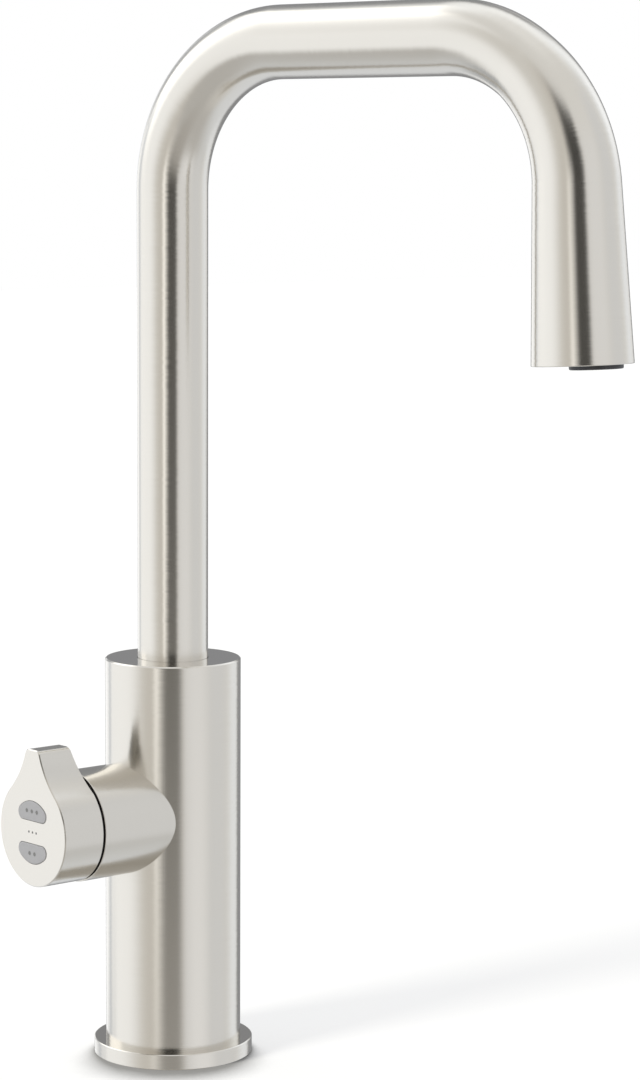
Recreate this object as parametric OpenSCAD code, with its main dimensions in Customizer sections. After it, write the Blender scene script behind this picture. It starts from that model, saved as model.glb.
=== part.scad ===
// Boiling water tap: swan-neck spout, side handle with two push buttons.
// Origin: centre of the base flange's underside, on the worktop. +Z up, the
// sink on the -Y side, the handle on the -X side.

/* [Column] */
// Outer diameter of the column
column_d = 50; // [47:0.5:56]
// Height of the column's top above the worktop
column_h = 148; // [142:1:190]
// Wall thickness of the column
column_wall = 3.5; // [3:0.1:4]
// Bevel round the column's top edge
column_bevel = 0.5; // [0.3:0.1:1.5]

/* [Base flange] */
// Diameter of the base flange
flange_d = 58.7; // [57:0.1:70]
// Height of the base flange
flange_h = 5.6; // [4:0.1:10]
// Bevel round the base flange's top edge
flange_bevel = 0.3; // [0.2:0.1:1.5]

/* [Spout] */
// Outer diameter of the spout's tube
tube_d = 25.9; // [24:0.1:27]
// Wall thickness of the spout's tube
tube_wall = 1.5; // [1:0.1:1.8]
// Height of the top run's centreline above the worktop
run_z = 371; // [340:1:420]
// Radius of both bends, on the centreline
bend_r = 52; // [45:1:60]
// Distance from the column's axis to where the second bend starts
bend_2_x = 126.7; // [110:0.1:150]
// Angle by which the outlet leg leans forward of upright
leg_lean = 3.2; // [0:0.1:6]
// Length of the straight outlet leg
leg_len = 58.6; // [45:0.1:75]
// Angle through the second bend at which the tube starts to flare
flare_start = 36.7; // [20:0.1:60]
// Outer diameter at the outlet's rim
outlet_d = 34.2; // [33:0.1:37]
// Angle the spout stands turned from straight ahead, away from the handle
spout_turn = 9.35; // [-90:0.05:80]

/* [Outlet] */
// Depth of the bore that holds the outlet insert
insert_depth = 14; // [12:0.5:18]
// How far the insert's face stays inside the rim
insert_recess = 0.8; // [0.4:0.1:2]
// Diameter of the water nozzle
nozzle_d = 18; // [15:0.5:18.5]
// How far the nozzle stands out below the rim
nozzle_proud = 1.5; // [0.5:0.1:4]
// Offset of the nozzle towards the front of the outlet
nozzle_offset = 5.4; // [4:0.1:5.6]

/* [Side boss] */
// Height of the boss axis above the worktop
boss_z = 90.7; // [80:0.1:100]
// Outer diameter of the boss
boss_d = 40.4; // [39:0.1:42]
// Distance from the column's axis to the boss's end face
boss_end = 46.3; // [45:0.1:54]
// Diameter of the bore that holds the turning sensor
boss_bore_d = 33; // [30:0.5:34]

/* [Handle] */
// Diameter of the handle's round part
knob_d = 39.5; // [38.5:0.1:42]
// Depth of the handle along its axis
knob_depth = 17; // [17:0.5:20]
// Height of the lever's tip above the handle's axis
lever_tip = 30; // [28:0.5:36]
// Radius of the hollow flanks between the round part and the lever
flank_r = 34.8; // [30:0.1:45]
// Angle from the lever to where the flanks leave the round part
flank_angle = 43; // [38:0.5:46]
// Corner radius at the lever's tip
tip_r = 2.5; // [1.5:0.1:3]
// Bevel round the handle's face
face_bevel = 0.35; // [0.2:0.05:0.8]
// Slope of the lever's back away from the boss
lever_slope = 11.3; // [0:0.1:14]

/* [Buttons] */
// Radius of the buttons' round edge, about the handle's axis
button_r = 11.4; // [10.5:0.1:12.5]
// Distance from the handle's axis to each button's straight edge
button_edge = 4.2; // [3:0.1:5]
// Corner radius of the buttons
button_corner = 2.5; // [1.5:0.1:2.8]
// How far the buttons stand out of the handle's face
button_proud = 0.3; // [0.2:0.1:0.6]
// Travel of each button
button_travel = 0.6; // [0.3:0.1:0.6]

/* [Mounting] */
// Diameter of the threaded shank
shank_d = 33; // [32:0.5:34]
// Length of the shank below the worktop's surface
shank_len = 75; // [70:1:110]
// Thickness of the worktop that is clamped
worktop_t = 40; // [12:1:40]
// Diameter of the two water pipes
pipe_d = 8; // [6:0.5:8]

/* [Hidden] */
$fn = 96;
eps = 0.01;
run_fit = 0.05;       // radial clearance of everything that turns
nickel = "#CDCCC8";
brass = "#B8A15A";
steel = "#B9BCC0";
black = "#2B2B2D";
copper = "#B87347";
board = "#2F6B45";

// column and swivel, from the top down
column_r = column_d / 2;
cavity_r = column_r - column_wall;
tube_r = tube_d / 2;
bore_r = tube_r - tube_wall;
lip_r = tube_r + 0.15;
bush_r = tube_r + 3;
lip_z = column_h - 3;
upper_bush_h = 8;
lower_bush_h = 7;
riser_z = column_h - 14;
stop_z = column_h - 18.5;
shoulder_z = column_h - 29;
washer_h = 1;
spigot_z = shoulder_z + washer_h + run_fit;
spigot_neck_h = 8;
nose_r = 8;
nose_z = shoulder_z - 11;
channel_r = 1.8;

// lock screw: its tip runs in a groove half way round the spigot
stop_r = 1.5;
stop_tip_x = 11.6;
groove_floor = 11.4;
groove_w = 3.2;
groove_span = 196;
screw_r = 2.5;

// manifold in the column
manifold_h = 10;
stem_r = 14;
stem_z = shoulder_z - 23;
port_y = 7;
pipe_r = pipe_d / 2;
pipe_wall = 1;
socket_depth = 7;
manifold_screw_ring = cavity_r - 2.8;
manifold_screw_angles = [90, 210, 330];
manifold_screw_depth = 8;
m3_r = 1.5;
m3_head_r = 2.7;
m2_r = 1;
ring_play = 0.05;     // room for an O-ring's rubber at each side of its groove

// spout centreline, in the plane of the spout: x forward, z up
bend_z = run_z - bend_r;
bend_2_turn = 90 - leg_lean;
outlet_r = outlet_d / 2;
flare_len = leg_len + bend_r * (bend_2_turn - flare_start) * PI / 180;
leg_top_x = bend_2_x + bend_r * cos(leg_lean);
leg_top_z = bend_z + bend_r * sin(leg_lean);
outlet_x = leg_top_x + leg_len * sin(leg_lean);
outlet_z = leg_top_z - leg_len * cos(leg_lean);
flare_sides = 48;
flare_rings = 13;
flare_lap = 1;        // angle by which the flare reaches back into the plain bend
flare_sink = 0.02;    // how far its skins stay inside the plain bend's wall
insert_r = outlet_r - 1.8;
nozzle_r = nozzle_d / 2;
nozzle_top = 6;
nozzle_wall = 1.6;
hose_sides = 12;
hose_steps = 10;
water_tube_r = 3;
water_tube_wall = 1;
water_tube_y = 3.8;
tube_socket = 4;

// O-rings: radius of the rubber and of the ring's centreline
spigot_ring_r = 0.7;
spigot_ring_z = [3.5, 8.5];
nozzle_ring_r = 0.6;
hub_ring_r = 0.5;

// boss and handle, along the handle's axis from the column's axis
boss_r = boss_d / 2;
boss_bore_r = boss_bore_d / 2;
sensor_seat = column_r - 1;
sensor_end = boss_end - 5;
retainer_end = boss_end - 3;
gap_w = 0.7;
handle_rear = boss_end + gap_w;
handle_face = handle_rear + knob_depth;
journal_r = 10;
spindle_r = 6;
spindle_end = sensor_seat + 7;
spindle_bore_r = 3;
magnet_r = 4;
magnet_h = 1.6;
sensor_ledge = 1.5;   // width of the seat on which the sensor's housing stands
pocket_r = 14;
pocket_floor = sensor_seat + 5;
bearing_ring_r = boss_r - 1;

knob_r = knob_d / 2;
face_wall = 2.5;
hub_r = 16.5;
hub_h = 5;
hub_ring_depth = 0.85;    // from the hub's front to the middle of its O-ring
hub_end = handle_rear + hub_h;
wall_inside = handle_face - face_wall;
flank_x = (knob_r + flank_r) * cos(flank_angle);
flank_y = (knob_r + flank_r) * sin(flank_angle);
tip_x = lever_tip - tip_r;
tip_y = flank_y - sqrt(pow(flank_r + tip_r, 2) - pow(flank_x - tip_x, 2));
tip_share = flank_r / (flank_r + tip_r);
tip_touch_x = flank_x + (tip_x - flank_x) * tip_share;
tip_touch_y = flank_y + (tip_y - flank_y) * tip_share;
slope_start = 14;

// electronics in the handle
carrier_h = 1;
board_h = 1.6;
board_r = 15.5;
board_front = hub_end + carrier_h + board_h;
button_gap = 0.15;
flange_gap = 0.05;
button_flange = 1;
button_flange_h = 1.2;
button_back = wall_inside - flange_gap;
stem_h = 1;
plunger_r = 1.75;
button_stem_r = 1.6;
plunger_gap = button_travel + 0.05;
plunger_end = button_back - button_flange_h - stem_h - plunger_gap;
plunger_h = 0.5;
switch_w = 6;
switch_x = 7.6;
board_screw_y = 12.5;
board_screw_depth = 3;
grub_x = handle_rear + 2;

// return spring
coil_wire_r = 0.8;
coil_r = 10;
coil_turns = 4;
coil_pitch = 2.4;
coil_sides = 6;
coil_steps = 14;
coil_leg = 3;

// mounting kit
seal_r = [22, 27];
seal_h = 1.2;
shank_r = shank_d / 2;
shank_bore_r = shank_r - 3;
shank_top = 12;
rubber_h = 3;
steel_h = 2.5;
jack_gap = 3.5;
nut_h = 11;
nut_r = 27.5;
nut_top = -worktop_t - rubber_h - steel_h - jack_gap;
jack_ring = 22;
jack_len = 20;
jack_head_r = 4.25;
jack_head_h = 4;
washer_r = 27;
guide_h = 3;
guide_plug_h = 8;
tail_len = 22;
collar_h = 3;

// ---------------------------------------------------------------- placing

// From the handle's frame (x up, z outwards from the column) to the tap's.
module on_handle_axis(z = 0) {
    translate([0, 0, boss_z])
        rotate([0, -90, 0])
            translate([0, 0, z])
                children();
}

// From the spout's own frame (x forward) to its turned position.
module on_spout() {
    rotate([0, 0, spout_turn - 90])
        children();
}

// From a frame at the rim's centre, z up the leg's axis, to the spout's.
module on_outlet() {
    translate([outlet_x, 0, outlet_z])
        rotate([0, -leg_lean, 0])
            children();
}

// ---------------------------------------------------------------- shapes

module tube(r, wall, h) {
    difference() {
        cylinder(r = r, h = h);
        translate([0, 0, -eps])
            cylinder(r = r - wall, h = h + 2 * eps);
    }
}

module washer(r_out, r_in, h) {
    tube(r_out, r_out - r_in, h);
}

// Disc with its upper edge bevelled.
module bevelled_disc(r, h, bevel) {
    cylinder(r = r, h = h - bevel);
    translate([0, 0, h - bevel])
        cylinder(r1 = r, r2 = r - bevel, h = bevel);
}

module o_ring(ring_r, rubber_r) {
    rotate_extrude()
        translate([ring_r, 0])
            circle(r = rubber_r, $fn = 32);
}

// First bend: from the riser over to the top run.
module rising_bend(r) {
    translate([bend_r, 0, bend_z])
        rotate([90, 0, 0])
            rotate([0, 0, 90])
                rotate_extrude(angle = 90)
                    translate([bend_r, 0])
                        circle(r = r);
}

// Second bend, as far as it has turned down from the top run.
module falling_bend(r, turn) {
    translate([bend_2_x, 0, bend_z])
        rotate([90, 0, 0])
            mirror([1, -1, 0])
                rotate_extrude(angle = turn)
                    translate([bend_r, 0])
                        circle(r = r);
}

// ---------------------------------------------------------------- base

module base_flange() {
    color(nickel)
        difference() {
            bevelled_disc(flange_d / 2, flange_h, flange_bevel);
            translate([0, 0, -eps])
                cylinder(r = shank_r + 0.1, h = flange_h + 2 * eps);
            translate([0, 0, -eps])
                washer(seal_r[1], seal_r[0], seal_h + eps);
        }
}

module base_seal() {
    color(black)
        washer(seal_r[1], seal_r[0], seal_h);
}

module shank() {
    color(brass)
        translate([0, 0, -shank_len])
            tube(shank_r, shank_r - shank_bore_r, shank_len + shank_top);
}

module rubber_washer() {
    color(black)
        translate([0, 0, -worktop_t - rubber_h])
            washer(washer_r, shank_r + 0.2, rubber_h);
}

module clamp_washer() {
    color(steel)
        translate([0, 0, -worktop_t - rubber_h - steel_h])
            washer(washer_r, shank_r + 0.2, steel_h);
}

module at_jacks() {
    for (a = [0, 120, 240])
        rotate([0, 0, a])
            translate([jack_ring, 0, 0])
                children();
}

module clamp_nut() {
    notches = 6;
    notch_r = 3;
    color(brass)
        translate([0, 0, nut_top - nut_h])
            difference() {
                cylinder(r = nut_r, h = nut_h);
                translate([0, 0, -eps])
                    cylinder(r = shank_r, h = nut_h + 2 * eps);
                at_jacks()
                    translate([0, 0, -eps])
                        cylinder(r = screw_r, h = nut_h + 2 * eps);
                for (i = [0 : notches - 1])
                    rotate([0, 0, (i + 0.5) * 360 / notches])
                        translate([nut_r + 1, 0, -eps])
                            cylinder(r = notch_r, h = nut_h + 2 * eps);
            }
}

module clamp_screws() {
    tip_z = -worktop_t - rubber_h - steel_h;
    socket_r = 2.3;
    socket_h = 2.5;
    color(steel)
        at_jacks()
            difference() {
                union() {
                    translate([0, 0, tip_z - jack_len])
                        cylinder(r = screw_r, h = jack_len);
                    translate([0, 0, tip_z - jack_len - jack_head_h])
                        cylinder(r = jack_head_r, h = jack_head_h);
                }
                translate([0, 0, tip_z - jack_len - jack_head_h - eps])
                    cylinder(r = socket_r, h = socket_h, $fn = 6);
            }
}

module hose_guide() {
    cable_x = 7.5;
    cable_r = 3;
    color(black)
        difference() {
            union() {
                translate([0, 0, -shank_len - guide_h])
                    cylinder(r = shank_r, h = guide_h);
                translate([0, 0, -shank_len])
                    cylinder(r = shank_bore_r, h = guide_plug_h);
            }
            for (side = [-1, 1])
                translate([0, side * port_y, -shank_len - guide_h - eps])
                    cylinder(r = pipe_r, h = guide_h + guide_plug_h + 2 * eps);
            translate([cable_x, 0, -shank_len - guide_h - eps])
                cylinder(r = cable_r, h = guide_h + guide_plug_h + 2 * eps);
        }
}

// ---------------------------------------------------------------- column

module at_manifold_screws() {
    for (a = manifold_screw_angles)
        rotate([0, 0, a])
            translate([manifold_screw_ring, 0, 0])
                children();
}

module body_column() {
    color(nickel)
        difference() {
            union() {
                translate([0, 0, flange_h])
                    bevelled_disc(column_r, column_h - flange_h, column_bevel);
                on_handle_axis()
                    cylinder(r = boss_r, h = boss_end);
            }
            translate([0, 0, shank_top])
                cylinder(r = cavity_r, h = shoulder_z - shank_top);
            cylinder(r = shank_r, h = shank_top + eps);
            translate([0, 0, shoulder_z - eps])
                cylinder(r = bush_r, h = lip_z - shoulder_z + eps);
            translate([0, 0, lip_z - eps])
                cylinder(r = lip_r, h = column_h - lip_z + 2 * eps);
            on_handle_axis()
                cylinder(r = boss_bore_r - sensor_ledge, h = boss_end);
            on_handle_axis(sensor_seat)
                cylinder(r = boss_bore_r, h = boss_end);
            lock_screw_hole();
            at_manifold_screws()
                translate([0, 0, shoulder_z - eps])
                    cylinder(r = m3_r, h = manifold_screw_depth + eps);
        }
}

module lock_screw_hole() {
    translate([0, bush_r - 1, stop_z])
        rotate([-90, 0, 0])
            cylinder(r = screw_r, h = column_r);
}

// Hollow-pointed screw at the back of the column.
module spout_lock_screw() {
    thread_y = bush_r + 0.5;
    below_surface = 0.6;
    thread_len = column_r - below_surface - thread_y;
    socket_r = 1.45;
    socket_h = 2.2;
    color(steel)
        difference() {
            union() {
                translate([0, thread_y, stop_z])
                    rotate([-90, 0, 0])
                        cylinder(r = screw_r, h = thread_len);
                translate([0, stop_tip_x, stop_z])
                    rotate([-90, 0, 0])
                        cylinder(r = stop_r, h = thread_y - stop_tip_x + eps);
            }
            translate([0, thread_y + thread_len - socket_h, stop_z])
                rotate([-90, 0, 0])
                    cylinder(r = socket_r, h = socket_h + eps, $fn = 6);
        }
}

module upper_bush() {
    color(black)
        translate([0, 0, lip_z - upper_bush_h])
            washer(bush_r, tube_r + run_fit, upper_bush_h);
}

module lower_bush() {
    color(black)
        translate([0, 0, shoulder_z])
            washer(bush_r, tube_r + run_fit, lower_bush_h);
}

module thrust_washer() {
    color("white")
        translate([0, 0, shoulder_z])
            washer(tube_r - 0.1, nose_r + 1, washer_h);
}

module inlet_manifold() {
    ring_z = nose_z + 6;
    side_y = nose_r + 2.5;
    under_nose = 1.5;
    side_lap = 3;
    color(brass)
        difference() {
            union() {
                translate([0, 0, shoulder_z - manifold_h])
                    cylinder(r = cavity_r, h = manifold_h);
                translate([0, 0, stem_z])
                    cylinder(r = stem_r, h = shoulder_z - stem_z - eps);
            }
            translate([0, 0, nose_z - under_nose])
                cylinder(r = nose_r + run_fit, h = shoulder_z - nose_z + 2);
            for (side = [-1, 1])
                translate([0, side * port_y, stem_z - eps])
                    cylinder(r = pipe_r, h = socket_depth + eps);
            translate([0, -port_y + pipe_wall + 0.5, stem_z + socket_depth - eps])
                cylinder(r = channel_r, h = nose_z - stem_z - socket_depth);
            translate([0, side_y, stem_z + socket_depth - side_lap])
                cylinder(r = channel_r, h = ring_z - stem_z - socket_depth + side_lap);
            translate([0, nose_r - 1, ring_z])
                rotate([-90, 0, 0])
                    cylinder(r = channel_r, h = side_y - nose_r + 1);
            at_manifold_screws()
                translate([0, 0, shoulder_z - manifold_h - eps])
                    cylinder(r = m3_r, h = manifold_h + 2 * eps);
        }
}

module manifold_screws() {
    head_h = 3;
    socket_r = 1.4;
    socket_h = 1.8;
    color(steel)
        at_manifold_screws()
            difference() {
                union() {
                    translate([0, 0, shoulder_z - manifold_h])
                        cylinder(r = m3_r, h = manifold_h + manifold_screw_depth);
                    translate([0, 0, shoulder_z - manifold_h - head_h])
                        cylinder(r = m3_head_r, h = head_h);
                }
                translate([0, 0, shoulder_z - manifold_h - head_h - eps])
                    cylinder(r = socket_r, h = socket_h, $fn = 6);
            }
}

// Pipe with a stop collar under the guide and a plain tail for a hose fitting.
module feed_pipe(side) {
    guide_z = -shank_len - guide_h;
    collar_w = 1.2;
    bottom = guide_z - collar_h - tail_len;
    color(copper)
        translate([0, side * port_y, 0])
            difference() {
                union() {
                    translate([0, 0, bottom])
                        cylinder(r = pipe_r, h = stem_z + socket_depth - bottom);
                    translate([0, 0, guide_z - collar_h])
                        cylinder(r = pipe_r + collar_w, h = collar_h);
                }
                translate([0, 0, bottom - eps])
                    cylinder(r = pipe_r - pipe_wall, h = stem_z + socket_depth - bottom + 2 * eps);
            }
}

module boiling_pipe() {
    feed_pipe(-1);
}

module chilled_pipe() {
    feed_pipe(1);
}

// ---------------------------------------------------------------- turning sensor in the boss

module encoder_housing() {
    color(black)
        on_handle_axis(sensor_seat)
            difference() {
                cylinder(r = boss_bore_r, h = sensor_end - sensor_seat);
                translate([0, 0, pocket_floor - sensor_seat])
                    cylinder(r = pocket_r, h = sensor_end);
                translate([coil_r, 0, pocket_floor - sensor_seat - coil_leg])
                    cylinder(r = coil_wire_r, h = coil_leg + eps);
            }
}

module sensor_board() {
    board_out = 12;
    hole_y = 9;
    hole_r = 1.2;
    color(board)
        on_handle_axis(sensor_seat - board_h)
            difference() {
                cylinder(r = board_out, h = board_h);
                for (side = [-1, 1])
                    translate([0, side * hole_y, -eps])
                        cylinder(r = hole_r, h = board_h + 2 * eps);
            }
}

// Ring of the spring's wire at an angle and height, tilted from level.
function wire_ring(a, z, tilt) = [
    for (j = [0 : coil_sides - 1])
        let (b = j * 360 / coil_sides, out = coil_r + coil_wire_r * cos(b), up = coil_wire_r * sin(b))
            [
                out * cos(a) + up * sin(tilt) * sin(a),
                out * sin(a) - up * sin(tilt) * cos(a),
                z + up * cos(tilt)
            ]
];

// Skin of a chain of rings with equal numbers of points, closed at both ends.
module ring_chain(rings) {
    n = len(rings[0]);
    m = len(rings);
    sides = [
        for (i = [0 : m - 2], j = [0 : n - 1])
            let (k = (j + 1) % n)
                each [
                    [i * n + j, i * n + k, (i + 1) * n + k],
                    [i * n + j, (i + 1) * n + k, (i + 1) * n + j]
                ]
    ];
    first = [for (j = [1 : n - 2]) [0, j + 1, j]];
    last = [for (j = [1 : n - 2]) [(m - 1) * n, (m - 1) * n + j, (m - 1) * n + j + 1]];
    polyhedron(points = [for (r = rings) each r], faces = concat(sides, first, last));
}

// Torsion spring, with one leg in the housing's floor.
module return_spring() {
    base = coil_wire_r + 0.1;
    first_step = 1;
    last_step = coil_turns * coil_steps;
    rings = concat(
        [wire_ring(0, -coil_leg, 90), wire_ring(0, 0, 90), wire_ring(3, base - 0.2, 45)],
        [
            for (i = [first_step : last_step])
                let (a = i * 360 / coil_steps)
                    wire_ring(a, base + coil_pitch * a / 360, 2)
        ]
    );
    color(steel)
        on_handle_axis(pocket_floor)
            ring_chain(rings);
}

// Ring nut that holds the sensor housing down.
module retaining_ring() {
    pin_ring = 13.5;
    pin_r = 1.25;
    color(brass)
        on_handle_axis(sensor_end)
            difference() {
                washer(boss_bore_r, journal_r + 0.6, retainer_end - sensor_end);
                for (a = [0, 90, 180, 270])
                    rotate([0, 0, a])
                        translate([pin_ring, 0, -eps])
                            cylinder(r = pin_r, h = retainer_end);
            }
}

// Plastic ring between the boss and the handle, with the handle's journal.
module bearing_ring() {
    color(black)
        on_handle_axis(retainer_end)
            difference() {
                union() {
                    cylinder(r = boss_bore_r, h = boss_end - retainer_end + eps);
                    translate([0, 0, boss_end - retainer_end])
                        cylinder(r = bearing_ring_r, h = gap_w - run_fit);
                }
                translate([0, 0, -eps])
                    cylinder(r = journal_r + run_fit, h = handle_rear);
            }
}

// ---------------------------------------------------------------- spout

// Points of the centreline, in the spout's plane, by the angle turned in each bend.
function rise_point(turned) = [bend_r * (1 - cos(turned)), bend_z + bend_r * sin(turned)];
function fall_point(turned) = [bend_2_x + bend_r * sin(turned), bend_z + bend_r * cos(turned)];
function leg_point(w) = [outlet_x - w * sin(leg_lean), outlet_z + w * cos(leg_lean)];

// Ring square to the centreline, at a point where it has turned so far from upright.
function line_ring(sides, r, at, turned, y = 0) = [
    for (j = [0 : sides - 1])
        let (b = -j * 360 / sides)
            [at.x + r * cos(b) * cos(turned), y + r * sin(b), at.y - r * cos(b) * sin(turned)]
];

// Outer radius of the flare at an angle turned in the second bend.
function flare_r(turned) =
    tube_r + (outlet_r - tube_r) * max(turned - flare_start, 0) / 180 * PI * bend_r / flare_len;

// Rings down the bend by even angles, then one at the rim. The first stands
// back inside the wall of the plain bend.
function flare_skin(inset) = concat(
    [
        for (i = [0 : flare_rings - 1])
            let (
                from = flare_start - flare_lap,
                turned = from + (bend_2_turn - from) * i / (flare_rings - 1)
            )
                line_ring(flare_sides, flare_r(turned) - inset, fall_point(turned), 90 + turned)
    ],
    [line_ring(flare_sides, outlet_r - inset, leg_point(0), 90 + bend_2_turn)]
);

// Rings of a hose beside the centreline, from the spigot to the outlet insert.
function hose_skin(r, y) = concat(
    [line_ring(hose_sides, r, [0, riser_z + spigot_neck_h - tube_socket], 0, y)],
    [
        for (i = [0 : hose_steps])
            let (turned = 90 * i / hose_steps)
                line_ring(hose_sides, r, rise_point(turned), turned, y)
    ],
    [
        for (i = [0 : hose_steps])
            let (turned = bend_2_turn * i / hose_steps)
                line_ring(hose_sides, r, fall_point(turned), 90 + turned, y)
    ],
    [line_ring(hose_sides, r, leg_point(insert_depth - tube_socket), 90 + bend_2_turn, y)]
);

// Wall between an outer and an inner chain of rings, closed by a ring at each end.
module walled_skin(outer, inner) {
    last = len(inner) - 1;
    rings = concat(outer, [for (i = [last : -1 : 0]) inner[i]]);
    n = len(outer[0]);
    m = len(rings);
    faces = [
        for (i = [0 : m - 1], j = [0 : n - 1])
            let (k = (j + 1) % n, next = (i + 1) % m)
                each [
                    [i * n + j, i * n + k, next * n + k],
                    [i * n + j, next * n + k, next * n + j]
                ]
    ];
    polyhedron(points = [for (r = rings) each r], faces = faces);
}

module spout_bore(r) {
    translate([0, 0, riser_z - eps])
        cylinder(r = r, h = bend_z - riser_z + eps);
    rising_bend(r);
    translate([bend_r, 0, run_z])
        rotate([0, 90, 0])
            cylinder(r = r, h = bend_2_x - bend_r);
    falling_bend(r, flare_start);
}

module spout() {
    color(nickel)
        on_spout() {
            difference() {
                spout_bore(tube_r);
                spout_bore(bore_r);
            }
            difference() {
                walled_skin(flare_skin(flare_sink), flare_skin(tube_wall - 2 * flare_sink));
                on_outlet()
                    translate([0, 0, -1])
                        cylinder(r = insert_r, h = insert_depth + 1);
            }
        }
}

module spout_spigot() {
    chilled_from = nose_z + 5;
    port_r = 1.4;
    color(brass)
        on_spout()
            difference() {
                union() {
                    translate([0, 0, riser_z - eps])
                        cylinder(r = bore_r, h = spigot_neck_h + eps);
                    translate([0, 0, spigot_z])
                        cylinder(r = tube_r, h = riser_z - spigot_z);
                    translate([0, 0, nose_z])
                        cylinder(r = nose_r, h = spigot_z - nose_z + eps);
                }
                rotate([0, 0, 180 - groove_span / 2])
                    rotate_extrude(angle = groove_span)
                        translate([groove_floor, stop_z - groove_w / 2])
                            square([tube_r, groove_w]);
                for (z = spigot_ring_z)
                    translate([0, 0, nose_z + z - spigot_ring_r - ring_play])
                        washer(nose_r + 1, nose_r - 2 * spigot_ring_r, 2 * (spigot_ring_r + ring_play));
                for (side = [-1, 1])
                    translate([0, side * water_tube_y, riser_z + spigot_neck_h - tube_socket])
                        cylinder(r = water_tube_r, h = tube_socket + eps);
                translate([0, -water_tube_y, nose_z - eps])
                    cylinder(r = channel_r, h = riser_z + spigot_neck_h - nose_z);
                translate([0, water_tube_y, chilled_from])
                    cylinder(r = channel_r, h = riser_z + spigot_neck_h - chilled_from);
                translate([0, water_tube_y, chilled_from + 1])
                    rotate([-90, 0, 0])
                        cylinder(r = port_r, h = nose_r);
            }
}

module spigot_o_rings() {
    color(black)
        on_spout()
            for (z = spigot_ring_z)
                translate([0, 0, nose_z + z])
                    o_ring(nose_r - spigot_ring_r, spigot_ring_r);
}

module water_tube(side) {
    y = side * water_tube_y;
    color("#E7E4DC")
        on_spout()
            walled_skin(hose_skin(water_tube_r, y), hose_skin(water_tube_r - water_tube_wall, y));
}

module boiling_tube() {
    water_tube(-1);
}

module chilled_tube() {
    water_tube(1);
}

// ---------------------------------------------------------------- outlet

module outlet_insert() {
    color(black)
        on_spout()
            on_outlet()
                difference() {
                    translate([0, 0, insert_recess])
                        cylinder(r = insert_r, h = insert_depth - insert_recess);
                    translate([nozzle_offset, 0, -eps])
                        cylinder(r = nozzle_r, h = nozzle_top + eps);
                    for (side = [-1, 1]) {
                        translate([0, side * water_tube_y, insert_depth - tube_socket])
                            cylinder(r = water_tube_r, h = tube_socket + eps);
                        translate([0, side * water_tube_y, nozzle_top - eps])
                            cylinder(r = channel_r, h = insert_depth - nozzle_top);
                    }
                }
}

module outlet_nozzle() {
    plate_h = 1.5;
    bevel = 0.5;
    ring_z = nozzle_top - 2;
    hole_r = 1.5;
    color(black)
        on_spout()
            on_outlet()
                translate([nozzle_offset, 0, 0])
                    difference() {
                        union() {
                            translate([0, 0, bevel - nozzle_proud])
                                cylinder(r = nozzle_r, h = nozzle_top + nozzle_proud - bevel);
                            translate([0, 0, -nozzle_proud])
                                cylinder(r1 = nozzle_r - bevel, r2 = nozzle_r, h = bevel);
                        }
                        translate([0, 0, -nozzle_proud - eps])
                            cylinder(r = nozzle_r - nozzle_wall, h = nozzle_top + nozzle_proud - plate_h);
                        translate([0, 0, ring_z - nozzle_ring_r - ring_play])
                            washer(nozzle_r + 1, nozzle_r - 2 * nozzle_ring_r, 2 * (nozzle_ring_r + ring_play));
                        for (side = [-1, 1])
                            translate([-nozzle_offset + 0.6, side * water_tube_y, -eps])
                                cylinder(r = hole_r, h = nozzle_top + 1);
                    }
}

module nozzle_o_ring() {
    color("#7A4A3A")
        on_spout()
            on_outlet()
                translate([nozzle_offset, 0, nozzle_top - 2])
                    o_ring(nozzle_r - nozzle_ring_r, nozzle_ring_r);
}

// Disc with rings of holes that makes the water run straight.
module flow_straightener() {
    disc_h = 3;
    recess = 0.8;
    hole_r = 0.7;
    hole_rings = [[1, 0], [6, 2.6], [12, 5.2]];
    color("#55585C")
        on_spout()
            on_outlet()
                translate([nozzle_offset, 0, recess - nozzle_proud])
                    difference() {
                        cylinder(r = nozzle_r - nozzle_wall, h = disc_h);
                        for (ring = hole_rings, i = [0 : ring[0] - 1])
                            rotate([0, 0, i * 360 / ring[0]])
                                translate([ring[1], 0, -eps])
                                    cylinder(r = hole_r, h = disc_h + 2 * eps, $fn = 24);
                    }
}

// ---------------------------------------------------------------- handle

// Lever between the round part and its tip, with hollow flanks.
module lever(depth, bevel) {
    touch_x = knob_r * cos(flank_angle);
    touch_y = knob_r * sin(flank_angle);
    for (side = [-1, 1])
        translate([tip_x, side * tip_y, 0])
            bevelled_disc(tip_r, depth, bevel);
    difference() {
        linear_extrude(depth)
            polygon([
                [touch_x, touch_y], [tip_touch_x, tip_touch_y], [tip_x, tip_y], [lever_tip, tip_y],
                [lever_tip, -tip_y], [tip_x, -tip_y], [tip_touch_x, -tip_touch_y], [touch_x, -touch_y]
            ]);
        for (side = [-1, 1])
            translate([flank_x, side * flank_y, 0]) {
                translate([0, 0, -eps])
                    cylinder(r = flank_r, h = depth + 2 * eps);
                translate([0, 0, depth - bevel])
                    cylinder(r1 = flank_r, r2 = flank_r + bevel, h = bevel + eps);
            }
        translate([lever_tip, 0, depth - bevel])
            rotate([0, -45, 0])
                translate([0, -knob_r, 0])
                    cube([knob_r, knob_d, knob_r]);
    }
}

// D-shaped button outline on the lever's side of the axis, grown all round.
module button_outline(grow) {
    r = button_r + grow;
    corner = button_corner + grow;
    edge = button_edge - grow;
    corner_x = edge + corner;
    corner_y = sqrt(pow(r - corner, 2) - pow(corner_x, 2));
    reach = 3;
    for (side = [-1, 1])
        translate([corner_x, side * corner_y])
            circle(r = corner);
    translate([edge, -corner_y])
        square([corner, 2 * corner_y]);
    intersection() {
        circle(r = r);
        polygon([
            [corner_x, -corner_y], [corner_x * reach, -corner_y * reach],
            [corner_x * reach, corner_y * reach], [corner_x, corner_y]
        ]);
    }
}

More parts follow.
